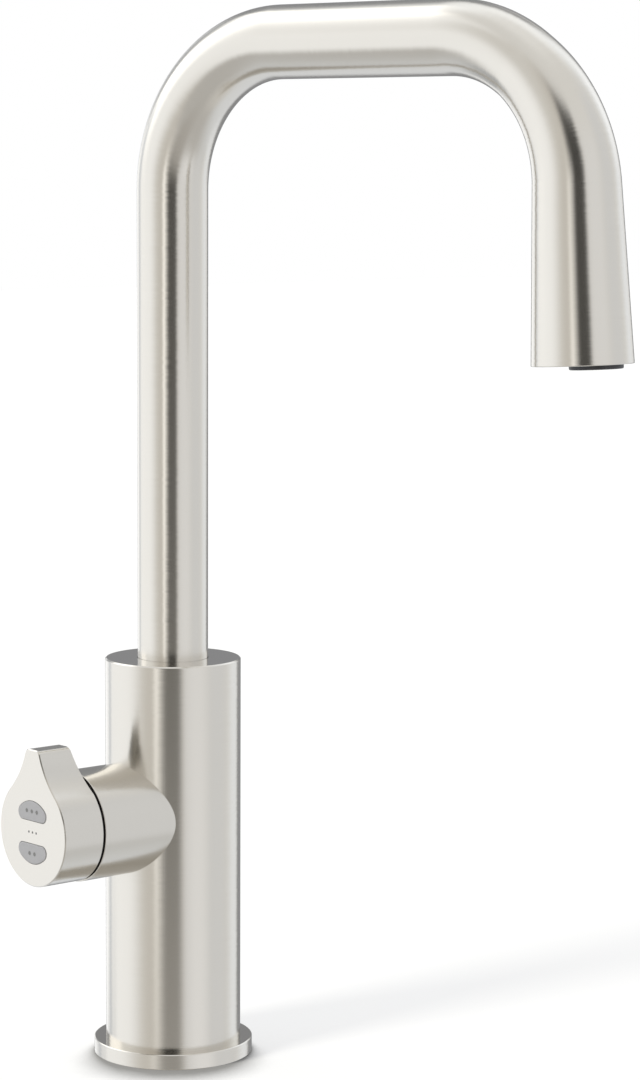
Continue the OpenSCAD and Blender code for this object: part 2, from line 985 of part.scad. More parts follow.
module handle_shell() {
    color(nickel)
        on_handle_axis(handle_rear)
            difference() {
                union() {
                    bevelled_disc(knob_r, knob_depth, face_bevel);
                    lever(knob_depth, face_bevel);
                }
                translate([0, 0, -eps])
                    cylinder(r = hub_r, h = knob_depth - face_wall + eps);
                for (turn = [0, 180])
                    rotate([0, 0, turn])
                        linear_extrude(knob_depth + 1)
                            button_outline(button_gap);
                translate([slope_start, 0, 0])
                    rotate([0, -lever_slope, 0])
                        translate([0, -knob_r, -knob_r])
                            cube([knob_d, knob_d, knob_r]);
                translate([-knob_d, 0, grub_x - handle_rear])
                    rotate([0, 90, 0])
                        cylinder(r = m3_r, h = knob_d);
            }
}

module handle_hub() {
    ring_z = hub_h - hub_ring_depth;
    spindle_web = 4;
    color(steel)
        on_handle_axis(handle_rear)
            difference() {
                union() {
                    cylinder(r = hub_r, h = hub_h);
                    translate([0, 0, retainer_end - handle_rear])
                        cylinder(r = journal_r, h = handle_rear - retainer_end + eps);
                    translate([0, 0, spindle_end - handle_rear])
                        cylinder(r = spindle_r, h = handle_rear - spindle_end);
                }
                translate([0, 0, spindle_end + spindle_web - handle_rear])
                    cylinder(r = spindle_bore_r, h = knob_depth + 20);
                translate([0, 0, spindle_end - handle_rear - eps])
                    cylinder(r = magnet_r, h = magnet_h + eps);
                translate([0, 0, ring_z - hub_ring_r - ring_play])
                    washer(hub_r + 1, hub_r - 2 * hub_ring_r, 2 * (hub_ring_r + ring_play));
                translate([-hub_r - 1, 0, grub_x - handle_rear])
                    rotate([0, 90, 0])
                        cylinder(r = m3_r, h = 6);
                for (side = [-1, 1])
                    translate([0, side * board_screw_y, hub_h - board_screw_depth])
                        cylinder(r = m2_r, h = board_screw_depth + eps);
            }
}

module handle_o_ring() {
    color(black)
        on_handle_axis(hub_end - hub_ring_depth)
            o_ring(hub_r - hub_ring_r, hub_ring_r);
}

module handle_grub_screw() {
    length = 7.5;
    below_surface = 0.6;
    socket_r = 0.85;
    socket_h = 2;
    color(steel)
        on_handle_axis(grub_x)
            translate([-knob_r + below_surface, 0, 0])
                rotate([0, 90, 0])
                    difference() {
                        cylinder(r = m3_r, h = length);
                        translate([0, 0, -eps])
                            cylinder(r = socket_r, h = socket_h, $fn = 6);
                    }
}

module sensor_magnet() {
    color(steel)
        on_handle_axis(spindle_end)
            cylinder(r = magnet_r, h = magnet_h);
}

module board_carrier() {
    opening_r = 9;
    color(black)
        on_handle_axis(hub_end)
            difference() {
                washer(hub_r - 0.2, opening_r, carrier_h);
                for (side = [-1, 1])
                    translate([0, side * board_screw_y, -eps])
                        cylinder(r = m2_r, h = carrier_h + 2 * eps);
            }
}

module control_board() {
    wire_hole_r = 2.5;
    color(board)
        on_handle_axis(hub_end + carrier_h)
            difference() {
                cylinder(r = board_r, h = board_h);
                translate([0, 0, -eps])
                    cylinder(r = wire_hole_r, h = board_h + 2 * eps);
                for (side = [-1, 1])
                    translate([0, side * board_screw_y, -eps])
                        cylinder(r = m2_r, h = board_h + 2 * eps);
            }
}

module push_switches() {
    for (side = [-1, 1])
        color(black)
            on_handle_axis(board_front)
                translate([side * switch_x, 0, 0]) {
                    translate([-switch_w / 2, -switch_w / 2, 0])
                        cube([switch_w, switch_w, plunger_end - plunger_h - board_front]);
                    cylinder(r = plunger_r, h = plunger_end - board_front);
                }
}

module board_screws() {
    head_h = 1.3;
    head_r = 1.9;
    color(steel)
        for (side = [-1, 1])
            on_handle_axis(hub_end - board_screw_depth)
                translate([0, side * board_screw_y, 0]) {
                    cylinder(r = m2_r, h = board_front - hub_end + board_screw_depth + eps);
                    translate([0, 0, board_front - hub_end + board_screw_depth])
                        cylinder(r = head_r, h = head_h);
                }
}

// ---------------------------------------------------------------- buttons

module button() {
    cap_h = handle_face + button_proud - button_back;
    linear_extrude(cap_h)
        button_outline(0);
    translate([0, 0, -button_flange_h])
        linear_extrude(button_flange_h)
            button_outline(button_flange);
    translate([switch_x, 0, -button_flange_h - stem_h])
        cylinder(r = button_stem_r, h = stem_h + eps);
}

module select_button() {
    color("#B4B3AF")
        on_handle_axis(button_back)
            button();
}

module safety_button() {
    color("#B4B3AF")
        on_handle_axis(button_back)
            rotate([0, 0, 180])
                button();
}

base_flange();
base_seal();
body_column();
shank();
rubber_washer();
clamp_washer();
clamp_nut();
clamp_screws();
hose_guide();
boiling_pipe();
chilled_pipe();
inlet_manifold();
manifold_screws();
thrust_washer();
lower_bush();
upper_bush();
spout_lock_screw();
encoder_housing();
sensor_board();
return_spring();
retaining_ring();
bearing_ring();
spout();
spout_spigot();
spigot_o_rings();
boiling_tube();
chilled_tube();
outlet_insert();
outlet_nozzle();
nozzle_o_ring();
flow_straightener();
handle_shell();
handle_hub();
handle_o_ring();
handle_grub_screw();
sensor_magnet();
board_carrier();
control_board();
push_switches();
board_screws();
select_button();
safety_button();
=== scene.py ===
import math

import bmesh
import bpy
from mathutils import Matrix, Vector


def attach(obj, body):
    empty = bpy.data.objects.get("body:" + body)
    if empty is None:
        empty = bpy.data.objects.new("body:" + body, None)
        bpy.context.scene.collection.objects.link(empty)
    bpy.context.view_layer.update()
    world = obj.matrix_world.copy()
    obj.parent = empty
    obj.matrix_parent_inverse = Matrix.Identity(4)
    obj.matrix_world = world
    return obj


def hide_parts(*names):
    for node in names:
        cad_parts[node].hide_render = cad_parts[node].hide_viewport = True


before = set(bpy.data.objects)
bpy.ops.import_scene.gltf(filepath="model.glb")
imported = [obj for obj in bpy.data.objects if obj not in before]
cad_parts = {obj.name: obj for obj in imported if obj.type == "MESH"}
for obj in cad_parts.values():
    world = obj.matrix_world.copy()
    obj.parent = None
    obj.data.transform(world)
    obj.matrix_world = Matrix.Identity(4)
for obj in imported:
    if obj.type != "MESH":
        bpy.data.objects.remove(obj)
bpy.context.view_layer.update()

# ------------------------------------------------------------------ sizes in mm, as in the CAD

MM = 0.001
EDGE_BREAK = 0.1  # how far a crisp turned edge is rounded
PAST = 1.0  # how far a cutter reaches past the face that it cuts

COLUMN_R, COLUMN_H, COLUMN_BEVEL, CAVITY_R = 25.0, 148.0, 0.5, 21.5
FLANGE_R, FLANGE_H, FLANGE_BEVEL = 29.35, 5.6, 0.3
SEAL_IN, SEAL_OUT, SEAL_H = 22.0, 27.0, 1.2
SHANK_R, SHANK_TOP, SHANK_LEN, SHANK_BORE_R, SHANK_PLAY = 16.5, 12.0, 75.0, 13.5, 0.1
THREAD_CORE_R, THREAD_LINE_R, THREAD_RIDGE = 15.95, 15.75, 0.72
THREAD_TURNS, THREAD_LEN, THREAD_TOP = 48.0, 72.0, 4.0
LIP_R, LIP_Z, BUSH_R, SHOULDER_Z = 13.1, 145.0, 15.95, 119.0
LOCK_SCREW_R, LOCK_SCREW_Z = 2.5, 129.5

TUBE_R, TUBE_WALL, RISER_Z = 12.95, 1.5, 134.0
RUN_Z, BEND_R, BEND_2_X = 371.0, 52.0, 126.7
LEG_LEAN, LEG_LEN, FLARE_START = 3.2, 58.6, 36.7
OUTLET_R = 17.07  # 0.03 less than the CAD's many-sided flare, to stay inside it
RIM_EDGE, RIM_LEN = 0.3, 1.4
SPOUT_TURN = 9.35  # how far the spout stands turned from straight ahead, in degrees
BEND_STEPS, BEND_2_STEPS = 48, 60
FAR = 999  # distance to the rim of a place that is nowhere near it
INSERT_R, INSERT_TOP, INSERT_RECESS, INSERT_EDGE = 15.3, 14.0, 0.8, 0.3
NOZZLE_R, NOZZLE_PROUD, NOZZLE_OFFSET, NOZZLE_TOP, NOZZLE_WALL = 9.0, 1.5, 5.4, 6.0, 1.6
NOZZLE_PLATE, NOZZLE_HOLE_R = 1.5, 4.0
NOZZLE_IN = NOZZLE_R - NOZZLE_WALL
DISC_HALF, DISC_Z, DISC_HOLE_R, DISC_STEP = 1.5, 2.3, 0.7, 2.6

BOSS_Z, BOSS_R, BOSS_END, BOSS_EDGE, BOSS_BORE_R = 90.7, 20.2, 46.3, 0.25, 16.5
SENSOR_SEAT, SENSOR_LEDGE, SENSOR_WELL = 24.0, 1.5, 8.0
JOURNAL_R, BEARING_R, BEARING_SPIGOT, BEARING_PLAY, GAP = 10.0, 19.2, 3.0, 0.05, 0.7
HANDLE_REAR = BOSS_END + GAP
KNOB_R, KNOB_DEPTH, LEVER_TIP = 19.75, 17.0, 30.0
FLANK_R, FLANK_ANGLE, TIP_R = 34.8, 43.0, 2.5
FACE_BEVEL, REAR_BEVEL, FACE_WALL, HUB_R = 0.35, 0.2, 2.5, 16.5
SLOPE, SLOPE_START = 11.3, 14.0
GRUB_Z, GRUB_R = 2.0, 1.5
BUTTON_R, BUTTON_EDGE, BUTTON_CORNER = 11.4, 4.2, 2.5
BUTTON_GAP, BUTTON_PLAY, BUTTON_PROUD, BUTTON_ROUND = 0.15, 0.05, 0.3, 0.3
BUTTON_FLANGE, BUTTON_FLANGE_H, BUTTON_STEM_X, BUTTON_STEM_R = 1.0, 1.2, 7.6, 1.6
BUTTON_LOWER = 0.03  # how much lower the caps are than in the CAD, to keep their dots inside it
MARK_X, MARK_R, MARK_STEP, MARK_H = 7.7, 0.75, 3.0, 0.04
FACE_MARK_R, FACE_MARK_STEP = 0.45, 2.2

BEND_Z = RUN_Z - BEND_R
TURN_2 = 90 - LEG_LEAN


def sin(a):
    return math.sin(math.radians(a))


def cos(a):
    return math.cos(math.radians(a))


LEG_TOP = (BEND_2_X + BEND_R * cos(LEG_LEAN), BEND_Z + BEND_R * sin(LEG_LEAN))
OUTLET = (LEG_TOP[0] + LEG_LEN * sin(LEG_LEAN), LEG_TOP[1] - LEG_LEN * cos(LEG_LEAN))

UPRIGHT = Matrix.Identity(4)
ON_SPOUT = Matrix.Rotation(math.radians(SPOUT_TURN - 90), 4, "Z")
ON_OUTLET = (ON_SPOUT @ Matrix.Translation((OUTLET[0], 0, OUTLET[1]))
             @ Matrix.Rotation(math.radians(-LEG_LEAN), 4, "Y"))
ON_AXIS = Matrix.Translation((0, 0, BOSS_Z)) @ Matrix.Rotation(math.radians(-90), 4, "Y")
ON_HANDLE = ON_AXIS @ Matrix.Translation((0, 0, HANDLE_REAR))
FACE_TOP = HANDLE_REAR + KNOB_DEPTH
BUTTON_BACK = FACE_TOP - FACE_WALL - BUTTON_PLAY
BUTTON_TOP = FACE_TOP + BUTTON_PROUD - BUTTON_LOWER
ON_SELECT = ON_AXIS @ Matrix.Translation((0, 0, BUTTON_BACK))
ON_SAFETY = ON_SELECT @ Matrix.Rotation(math.pi, 4, "Z")

# ------------------------------------------------------------------ nodes and finishes


def linear(code):
    """An sRGB hex colour as linear RGBA."""
    parts = [int(code[i:i + 2], 16) / 255 for i in (1, 3, 5)]
    return (*(c / 12.92 if c <= 0.04045 else ((c + 0.055) / 1.055) ** 2.4 for c in parts), 1.0)


def add(tree, kind, settings=None, **links):
    """Adds a node. settings are properties or socket values, links are socket name to output."""
    made = tree.nodes.new(kind)
    for key, value in (settings or {}).items():
        if isinstance(key, str) and hasattr(made, key):
            setattr(made, key, value)
        else:
            made.inputs[key].default_value = value
    for key, source in links.items():
        name = int(key[1:]) if key[0] == "i" and key[1:].isdigit() else key.replace("_", " ")
        tree.links.new(source, made.inputs[name])
    return made


def finish_of(name, base, roughness, metallic=0.0, **more):
    """A new finish with its Principled shader, which the caller gives its pattern."""
    mat = bpy.data.materials.new(name)
    mat.use_nodes = True
    tree = mat.node_tree
    tree.nodes.clear()
    shader = add(tree, "ShaderNodeBsdfPrincipled", {
        "Base Color": linear(base), "Roughness": roughness, "Metallic": metallic, **more})
    add(tree, "ShaderNodeOutputMaterial", Surface=shader.outputs[0])
    return mat, tree, shader


def vary(tree, shader, pattern, dark, light, rough_from, rough_to):
    """The pattern moves the colour between two shades and the roughness between two values."""
    shades = add(tree, "ShaderNodeMix", {"data_type": "RGBA", 6: linear(dark), 7: linear(light)},
                 i0=pattern)
    tree.links.new(shades.outputs[2], shader.inputs["Base Color"])
    rough = add(tree, "ShaderNodeMapRange", {"To Min": rough_from, "To Max": rough_to},
                Value=pattern)
    tree.links.new(rough.outputs[0], shader.inputs["Roughness"])


def satin_nickel():
    """Nickel-plated brass, satin-brushed round each part on a lathe or belt: a warm pale metal
    whose reflections keep soft sides and are drawn out along the part."""
    mat, tree, shader = finish_of("satin_nickel_plate", "#D8D4CC", 0.206, 1.0, **{
        "Anisotropic": 0.64, "Anisotropic Rotation": 0.25})
    lay = add(tree, "ShaderNodeUVMap", {"uv_map": "turning"})
    # the brush lines are 0.05 mm apart on the tap, and are drawn 0.4 mm apart to show at all
    line_step = 0.4
    lines = add(tree, "ShaderNodeMapping", {"Scale": (3.0, 1 / (line_step * MM), 1.0)},
                Vector=lay.outputs[0])
    brush = add(tree, "ShaderNodeTexNoise", {"noise_dimensions": "2D", "Scale": 1.0, "Detail": 2.0},
                Vector=lines.outputs[0])
    where = add(tree, "ShaderNodeTexCoord")
    # faint cloudiness of the plating, about 30 mm across
    cloud = add(tree, "ShaderNodeTexNoise", {"Scale": 33.0, "Detail": 2.0},
                Vector=where.outputs["Object"])
    both = add(tree, "ShaderNodeMix", {"data_type": "FLOAT", 0: 0.3}, i2=brush.outputs[0],
               i3=cloud.outputs[0])
    vary(tree, shader, both.outputs[0], "#D6D2CA", "#DAD6CE", 0.17, 0.24)
    # each line also leans a little sideways, which frays the edges of the reflections
    lean = add(tree, "ShaderNodeCombineColor", {1: 0.5, 2: 1.0}, i0=brush.outputs[0])
    frayed = add(tree, "ShaderNodeNormalMap", {"uv_map": "turning", "Strength": 0.03},
                 Color=lean.outputs[0])
    relief = add(tree, "ShaderNodeBump", {"Strength": 0.2, "Distance": 0.01 * MM},
                 Height=brush.outputs[0], Normal=frayed.outputs[0])
    tree.links.new(relief.outputs[0], shader.inputs["Normal"])
    round_part = add(tree, "ShaderNodeTangent", {"direction_type": "UV_MAP", "uv_map": "turning"})
    tree.links.new(round_part.outputs[0], shader.inputs["Tangent"])
    return mat


def faced_nickel():
    """The same plate on a flat end that was faced on the lathe and left bright: it mirrors what
    stands on it, blurred a little by rings too fine to see."""
    mat, tree, shader = finish_of("faced_nickel_plate", "#D8D4CC", 0.09, 1.0)
    where = add(tree, "ShaderNodeTexCoord")
    # the facing rings, about 0.5 mm apart
    rings = add(tree, "ShaderNodeTexWave", {
        "wave_type": "RINGS", "rings_direction": "Z", "Scale": 628.0, "Distortion": 1.0,
        "Detail": 2.0}, Vector=where.outputs["Object"])
    vary(tree, shader, rings.outputs[1], "#D6D2CA", "#DAD6CE", 0.07, 0.12)
    return mat


def grained(name, base, dark, light, rough, metallic=0.0, grain=0.4, depth=0.0, **more):
    """A finish with one fine even grain, whose size and depth are in mm."""
    mat, tree, shader = finish_of(name, base, sum(rough) / 2, metallic, **more)
    where = add(tree, "ShaderNodeTexCoord")
    speck = add(tree, "ShaderNodeTexNoise", {"Scale": 1 / (grain * MM), "Detail": 2.0},
                Vector=where.outputs["Object"])
    vary(tree, shader, speck.outputs[0], dark, light, *rough)
    if depth:
        relief = add(tree, "ShaderNodeBump", {"Strength": 1.0, "Distance": depth * MM},
                     Height=speck.outputs[0])
        tree.links.new(relief.outputs[0], shader.inputs["Normal"])
    return mat


def turned_metal(name, base, dark, light, rough, groove):
    """Bare metal turned on a lathe: fine grooves across its axis, which is upright."""
    mat, tree, shader = finish_of(name, base, sum(rough) / 2, 1.0)
    where = add(tree, "ShaderNodeTexCoord")
    across = add(tree, "ShaderNodeMapping", {"Scale": (40.0, 40.0, 1 / (groove * MM))},
                 Vector=where.outputs["Object"])
    cut = add(tree, "ShaderNodeTexNoise", {"Scale": 1.0, "Detail": 3.0}, Vector=across.outputs[0])
    vary(tree, shader, cut.outputs[0], dark, light, *rough)
    relief = add(tree, "ShaderNodeBump", {"Strength": 0.5, "Distance": 0.02 * MM},
                 Height=cut.outputs[0])
    tree.links.new(relief.outputs[0], shader.inputs["Normal"])
    return mat


def circuit_laminate():
    """Glass-epoxy board under green solder resist, with copper tracks showing through as
    slightly lighter lines."""
    mat, tree, shader = finish_of("circuit_laminate", "#2F6B45", 0.35)
    where = add(tree, "ShaderNodeTexCoord")
    tracks = add(tree, "ShaderNodeTexBrick", {
        "Scale": 400.0, "Mortar Size": 0.08, "Color1": linear("#2A6240"),
        "Color2": linear("#2F6B45"), "Mortar": linear("#4F8A5C")}, Vector=where.outputs["Object"])
    tree.links.new(tracks.outputs[0], shader.inputs["Base Color"])
    return mat


NICKEL = satin_nickel()
FACED = faced_nickel()
# free-cutting brass, turned: warm yellow with fine grooves
BRASS = turned_metal("turned_brass", "#C9B06C", "#BFA561", "#D2BB7C", (0.24, 0.36), 0.5)
# A2 stainless steel, turned or pressed: cooler and greyer than the nickel
STEEL = turned_metal("stainless_steel", "#BFC1C3", "#B3B5B8", "#C9CBCD", (0.24, 0.38), 0.4)
# copper tube, drawn: dull pink metal, slightly tarnished in patches
COPPER = grained("drawn_copper", "#C07A50", "#A9653F", "#CF8C62", (0.28, 0.45), 1.0, 9.0)
# the handle's back, nickel-plated as it was cast and not brushed: cloudier, and made darker as
# painted shade so that its reflection in the column shows dark
PAINTED_SHADE_BACK = grained("nickel_plate_painted_shade", "#94918B", "#8C8983", "#9C9993", (0.22, 0.32), 1.0, 0.9)
# carbon-filled bearing ring: dull and as good as black, partly its own black and partly painted
# shade for the dark inside of the gap at the handle
GAP_SHADE_RING = grained("black_acetal_painted_gap_shade", "#0D0D0E", "#0A0A0B", "#101011", (0.6, 0.75),
                      0.0, 0.5, **{"Specular IOR Level": 0.2})
# acetal and ABS, moulded: near black with a fine satin texture
PLASTIC = grained("moulded_black_acetal", "#2B2B2D", "#262628", "#313134", (0.38, 0.5),
                  0.0, 0.5, 0.01)
# EPDM rubber, moulded: black, dull, a little uneven
RUBBER = grained("epdm_rubber", "#1E1E1F", "#191919", "#262626", (0.7, 0.85), 0.0, 0.8, 0.02)
# brown silicone rubber of the ring at the boiling nozzle
SILICONE_RING = grained("brown_silicone", "#7A4A3A", "#704233", "#845243", (0.5, 0.6), 0.0, 1.0)
# PTFE, turned: white and waxy
PTFE = grained("white_ptfe", "#EDEDEA", "#E6E6E2", "#F2F2EF", (0.4, 0.5), 0.0, 1.0)
# silicone hose, extruded: milky and half clear
HOSE = grained("milky_silicone_hose", "#E7E4DC", "#DEDACF", "#EEEBE4", (0.35, 0.45), 0.0, 3.0)
# grey acetal of the water straightener
GREY = grained("grey_acetal", "#55585C", "#4E5155", "#5D6064", (0.4, 0.5), 0.0, 0.6)
# zinc alloy buttons, bead-blasted and satin-plated: mid grey, with no direction in their sheen
BUTTON = grained("blasted_grey_plate", "#A6A5A5", "#9D9C9C", "#AFAEAE", (0.42, 0.5),
                 0.55, 0.35, 0.006)
# dark grey enamel fill of the marks
ENAMEL = grained("dark_grey_enamel", "#6E6E6C", "#686866", "#747472", (0.4, 0.5), 0.0, 0.4)
BOARD = circuit_laminate()

# ------------------------------------------------------------------ shapes


def piece_of(name, verts, faces, uvs, finish):
    """A closed mesh from points in metres, with its faces turned outwards."""
    mesh = bpy.data.meshes.new(name)
    mesh.from_pydata(verts, [], faces)
    layer = mesh.uv_layers.new(name="turning")
    for loop, uv in zip(layer.data, uvs):
        loop.uv = uv
    work = bmesh.new()
    work.from_mesh(mesh)
    bmesh.ops.remove_doubles(work, verts=work.verts, dist=1e-7)
    bmesh.ops.dissolve_degenerate(work, edges=work.edges, dist=1e-8)
    bmesh.ops.recalc_face_normals(work, faces=work.faces)
    work.to_mesh(mesh)
    work.free()
    mesh.materials.append(finish)
    piece = bpy.data.objects.new(name, mesh)
    bpy.context.scene.collection.objects.link(piece)
    return piece


def skin(name, rings, finish, loop=False, place=UPRIGHT):
    """Skin over rings with equal numbers of points. It closes on itself, or with a flat face
    at each end. U runs round each ring and V along them, in metres."""
    n, m = len(rings[0]), len(rings)
    verts = [(place @ Vector(p)) * MM for ring in rings for p in ring]
    along = [0.0]
    for i in range(1, m + 1):
        along.append(along[-1] + (Vector(rings[i % m][0]) - Vector(rings[i - 1][0])).length * MM)
    faces, uvs = [], []
    for i in range(m if loop else m - 1):
        k = (i + 1) % m
        for j in range(n):
            faces.append((i * n + j, i * n + (j + 1) % n, k * n + (j + 1) % n, k * n + j))
            a, b = along[i], along[i + 1]
            uvs += [(j / n, a), ((j + 1) / n, a), ((j + 1) / n, b), (j / n, b)]
    if not loop:
        for i in (0, m - 1):
            faces.append(tuple(range(i * n, i * n + n)))
            uvs += [(p[1] * MM, p[0] * MM) for p in rings[i]]
    return piece_of(name, verts, faces, uvs, finish)


def rounded(corners, steps=4):
    """Outline through corners (x, y, radius), each rounded by its own radius."""
    out = []
    for i, (x, y, r) in enumerate(corners):
        here = Vector((x, y))
        if not r:
            out.append((x, y))
            continue
        before = Vector(corners[i - 1][:2]) - here
        after = Vector(corners[(i + 1) % len(corners)][:2]) - here
        half = before.angle(after) / 2
        reach = r / math.tan(half)
        inward = (before.normalized() + after.normalized()).normalized()
        centre = here + inward * (r / math.sin(half))
        start = here + before.normalized() * reach - centre
        end = here + after.normalized() * reach - centre
        for s in range(steps + 1):
            spoke = start.lerp(end, s / steps).normalized() * r
            out.append(tuple(centre + spoke))
    return out


def lathe(name, corners, finish, loop=True, place=UPRIGHT, sides=192):
    """Turned part: corners are (radius, height, rounding). Without a loop a flat face closes
    each end, and the first and last radius only have to lie inside that face."""
    rings = [[(r * cos(360 * j / sides), r * sin(360 * j / sides), z) for j in range(sides)]
             for r, z in rounded(corners)]
    return skin(name, rings, finish, loop, place)


def cylinder(r, z0, z1, place=UPRIGHT, sides=96):
    return lathe("tool", [(r, z0, 0), (r, z1, 0)], NICKEL, False, place, sides)


def bake(piece):
    """Makes the piece's modifiers part of its mesh."""
    graph = bpy.context.evaluated_depsgraph_get()
    mesh = bpy.data.meshes.new_from_object(
        piece.evaluated_get(graph), preserve_all_data_layers=True, depsgraph=graph)
    piece.modifiers.clear()
    piece.data = mesh


def joined(piece, others, how):
    """Adds the other solids to the piece, or cuts them out of it."""
    for other in others:
        step = piece.modifiers.new(how, "BOOLEAN")
        step.operation, step.object, step.solver = how, other, "EXACT"
    bake(piece)
    for other in others:
        bpy.data.objects.remove(other)


def crisp(piece, angle=28):
    """Smooth faces between crisp edges. Beside a rounded edge, a wide face stays flat."""
    piece.data.shade_smooth()
    piece.data.set_sharp_from_angle(angle=math.radians(angle))
    step = piece.modifiers.new("wide_faces", "WEIGHTED_NORMAL")
    step.keep_sharp = True
    bake(piece)


def faced(piece, heights):
    """Gives the flat ends at these heights, in mm, the bright faced finish."""
    piece.data.materials.append(FACED)
    for face in piece.data.polygons:
        flat = face.normal.z > 0.999
        if flat and any(abs(face.center.z - h * MM) < 0.05 * MM for h in heights):
            face.material_index = len(piece.data.materials) - 1


def fit(piece, body, node, slot):
    """The finished piece moves with its body and stands for its CAD node."""
    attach(piece, body)
    if node:
        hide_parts(node)


def fine_copy(node, body, slot, finish, angle=28):
    """A CAD node's own shape with its loose triangles joined and shaded smooth."""
    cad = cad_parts[node]
    work = bmesh.new()
    work.from_mesh(cad.data)
    bmesh.ops.remove_doubles(work, verts=work.verts, dist=2e-7)
    mesh = bpy.data.meshes.new(node + "_fine")
    work.to_mesh(mesh)
    work.free()
    mesh.materials.append(finish)
    piece = bpy.data.objects.new(node + "_fine", mesh)
    bpy.context.scene.collection.objects.link(piece)
    crisp(piece, angle)
    fit(piece, body, node, slot)
    return piece


# ------------------------------------------------------------------ column and foot

flange_in = SHANK_R + SHANK_PLAY
flange = lathe("flange_plate", [
    (flange_in, 0, 0), (SEAL_IN, 0, 0), (SEAL_IN, SEAL_H, 0), (SEAL_OUT, SEAL_H, 0),
    (SEAL_OUT, 0, 0), (FLANGE_R, 0, 2 * EDGE_BREAK),
    (FLANGE_R, FLANGE_H - FLANGE_BEVEL, EDGE_BREAK),
    (FLANGE_R - FLANGE_BEVEL, FLANGE_H, EDGE_BREAK), (flange_in, FLANGE_H, 0)], NICKEL)
crisp(flange)
faced(flange, [FLANGE_H])
fit(flange, "body", "base_flange", "satin_nickel")

column = lathe("column_shell", [
    (10, FLANGE_H, 0), (COLUMN_R, FLANGE_H, 0), (COLUMN_R, COLUMN_H - COLUMN_BEVEL, EDGE_BREAK),
    (COLUMN_R - COLUMN_BEVEL, COLUMN_H, EDGE_BREAK), (10, COLUMN_H, 0)], NICKEL, False)
boss = lathe("boss", [(8, 5, 0), (BOSS_R, 5, 0), (BOSS_R, BOSS_END, BOSS_EDGE), (8, BOSS_END, 0)],
             NICKEL, False, ON_AXIS, 160)
joined(column, [boss], "UNION")
cavity = lathe("cavity", [
    (SHANK_R, FLANGE_H - PAST, 0), (SHANK_R, SHANK_TOP, 0), (CAVITY_R, SHANK_TOP, 0),
    (CAVITY_R, SHOULDER_Z, 0), (BUSH_R, SHOULDER_Z, 0), (BUSH_R, LIP_Z, 0), (LIP_R, LIP_Z, 0),
    (LIP_R, COLUMN_H + PAST, 0)], NICKEL, False)
on_lock_screw = (Matrix.Translation((0, 0, LOCK_SCREW_Z))
                 @ Matrix.Rotation(math.radians(-90), 4, "X"))
joined(column, [
    cavity,
    cylinder(BOSS_BORE_R - SENSOR_LEDGE, SENSOR_WELL, BOSS_END + PAST, ON_AXIS),
    cylinder(BOSS_BORE_R, SENSOR_SEAT, BOSS_END + PAST, ON_AXIS),
    cylinder(LOCK_SCREW_R, BUSH_R - PAST, COLUMN_R + 2 * PAST, on_lock_screw, 48),
], "DIFFERENCE")
crisp(column)
faced(column, [COLUMN_H])
fit(column, "body", "body_column", "satin_nickel")

bearing_in = JOURNAL_R + BEARING_PLAY
bearing_end = GAP - BEARING_PLAY
# the ring's near-black, dull finish is partly painted shade for the gap between boss and handle
bearing = lathe("gap_ring", [
    (bearing_in, -BEARING_SPIGOT, 0), (BOSS_BORE_R, -BEARING_SPIGOT, 0), (BOSS_BORE_R, 0, 0),
    (BEARING_R, 0, 0), (BEARING_R, bearing_end, 0.15), (bearing_in, bearing_end, 0)],
    GAP_SHADE_RING, True, ON_AXIS @ Matrix.Translation((0, 0, BOSS_END)), 128)
crisp(bearing)
fit(bearing, "body", "bearing_ring", "black_plastic")

# ------------------------------------------------------------------ spout


def tube_radius(run):
    """Outer radius at a distance along the flare from where it starts."""
    length = LEG_LEN + BEND_R * math.radians(TURN_2 - FLARE_START)
    return TUBE_R + (OUTLET_R - TUBE_R) * max(run, 0) / length


def line_stations():
    """(x, z, angle turned from upright, outer radius, distance to the rim) down the spout."""
    stations = [(0, z, 0, TUBE_R, FAR) for z in (RISER_Z, RISER_Z + 0.4, 200, 260)]
    for i in range(BEND_STEPS + 1):
        a = 90 * i / BEND_STEPS
        stations.append((BEND_R * (1 - cos(a)), BEND_Z + BEND_R * sin(a), a, TUBE_R, FAR))
    for part in (0.25, 0.5, 0.75):
        stations.append((BEND_R + (BEND_2_X - BEND_R) * part, RUN_Z, 90, TUBE_R, FAR))
    for i in range(BEND_2_STEPS + 1):
        a = TURN_2 * i / BEND_2_STEPS
        run = BEND_R * math.radians(a - FLARE_START)
        stations.append((BEND_2_X + BEND_R * sin(a), BEND_Z + BEND_R * cos(a), 90 + a,
                         tube_radius(run), FAR))
    start = BEND_R * math.radians(TURN_2 - FLARE_START)
    for left in (44, 30, INSERT_TOP + 0.01, INSERT_TOP, 8, 4, 1.5, 0):
        stations.append((OUTLET[0] - left * sin(LEG_LEAN), OUTLET[1] + left * cos(LEG_LEAN),
                         90 + TURN_2, tube_radius(start + LEG_LEN - left), left))
    return stations


def line_ring(station, r, sides=144):
    x, z, turned = station[:3]
    return [(x + r * cos(-360 * j / sides) * cos(turned), r * sin(-360 * j / sides),
             z - r * cos(-360 * j / sides) * sin(turned)) for j in range(sides)]


def swan_neck():
    """The tube as one closed wall: down its outside, round the rim and back up its bore."""
    stations = line_stations()
    rim = stations[-1]
    rings = [line_ring(s, s[3]) for s in stations[:-1]]
    wall_in = OUTLET_R - TUBE_WALL
    for r, left in rounded([(OUTLET_R, RIM_LEN, 0), (OUTLET_R, 0, RIM_EDGE),
                            (wall_in, 0, RIM_EDGE * 0.6), (wall_in, RIM_LEN, 0)])[1:-1]:
        at = (rim[0] - left * sin(LEG_LEAN), rim[1] + left * cos(LEG_LEAN), rim[2])
        rings.append(line_ring(at, r))
    for s in reversed(stations[:-1]):
        bore = s[3] - TUBE_WALL
        rings.append(line_ring(s, max(bore, INSERT_R) if s[4] <= INSERT_TOP else bore))
    return skin("swan_neck", rings, NICKEL, True, ON_SPOUT)


spout = swan_neck()
crisp(spout)
fit(spout, "swivel_spout", "spout", "satin_nickel")

# ------------------------------------------------------------------ outlet

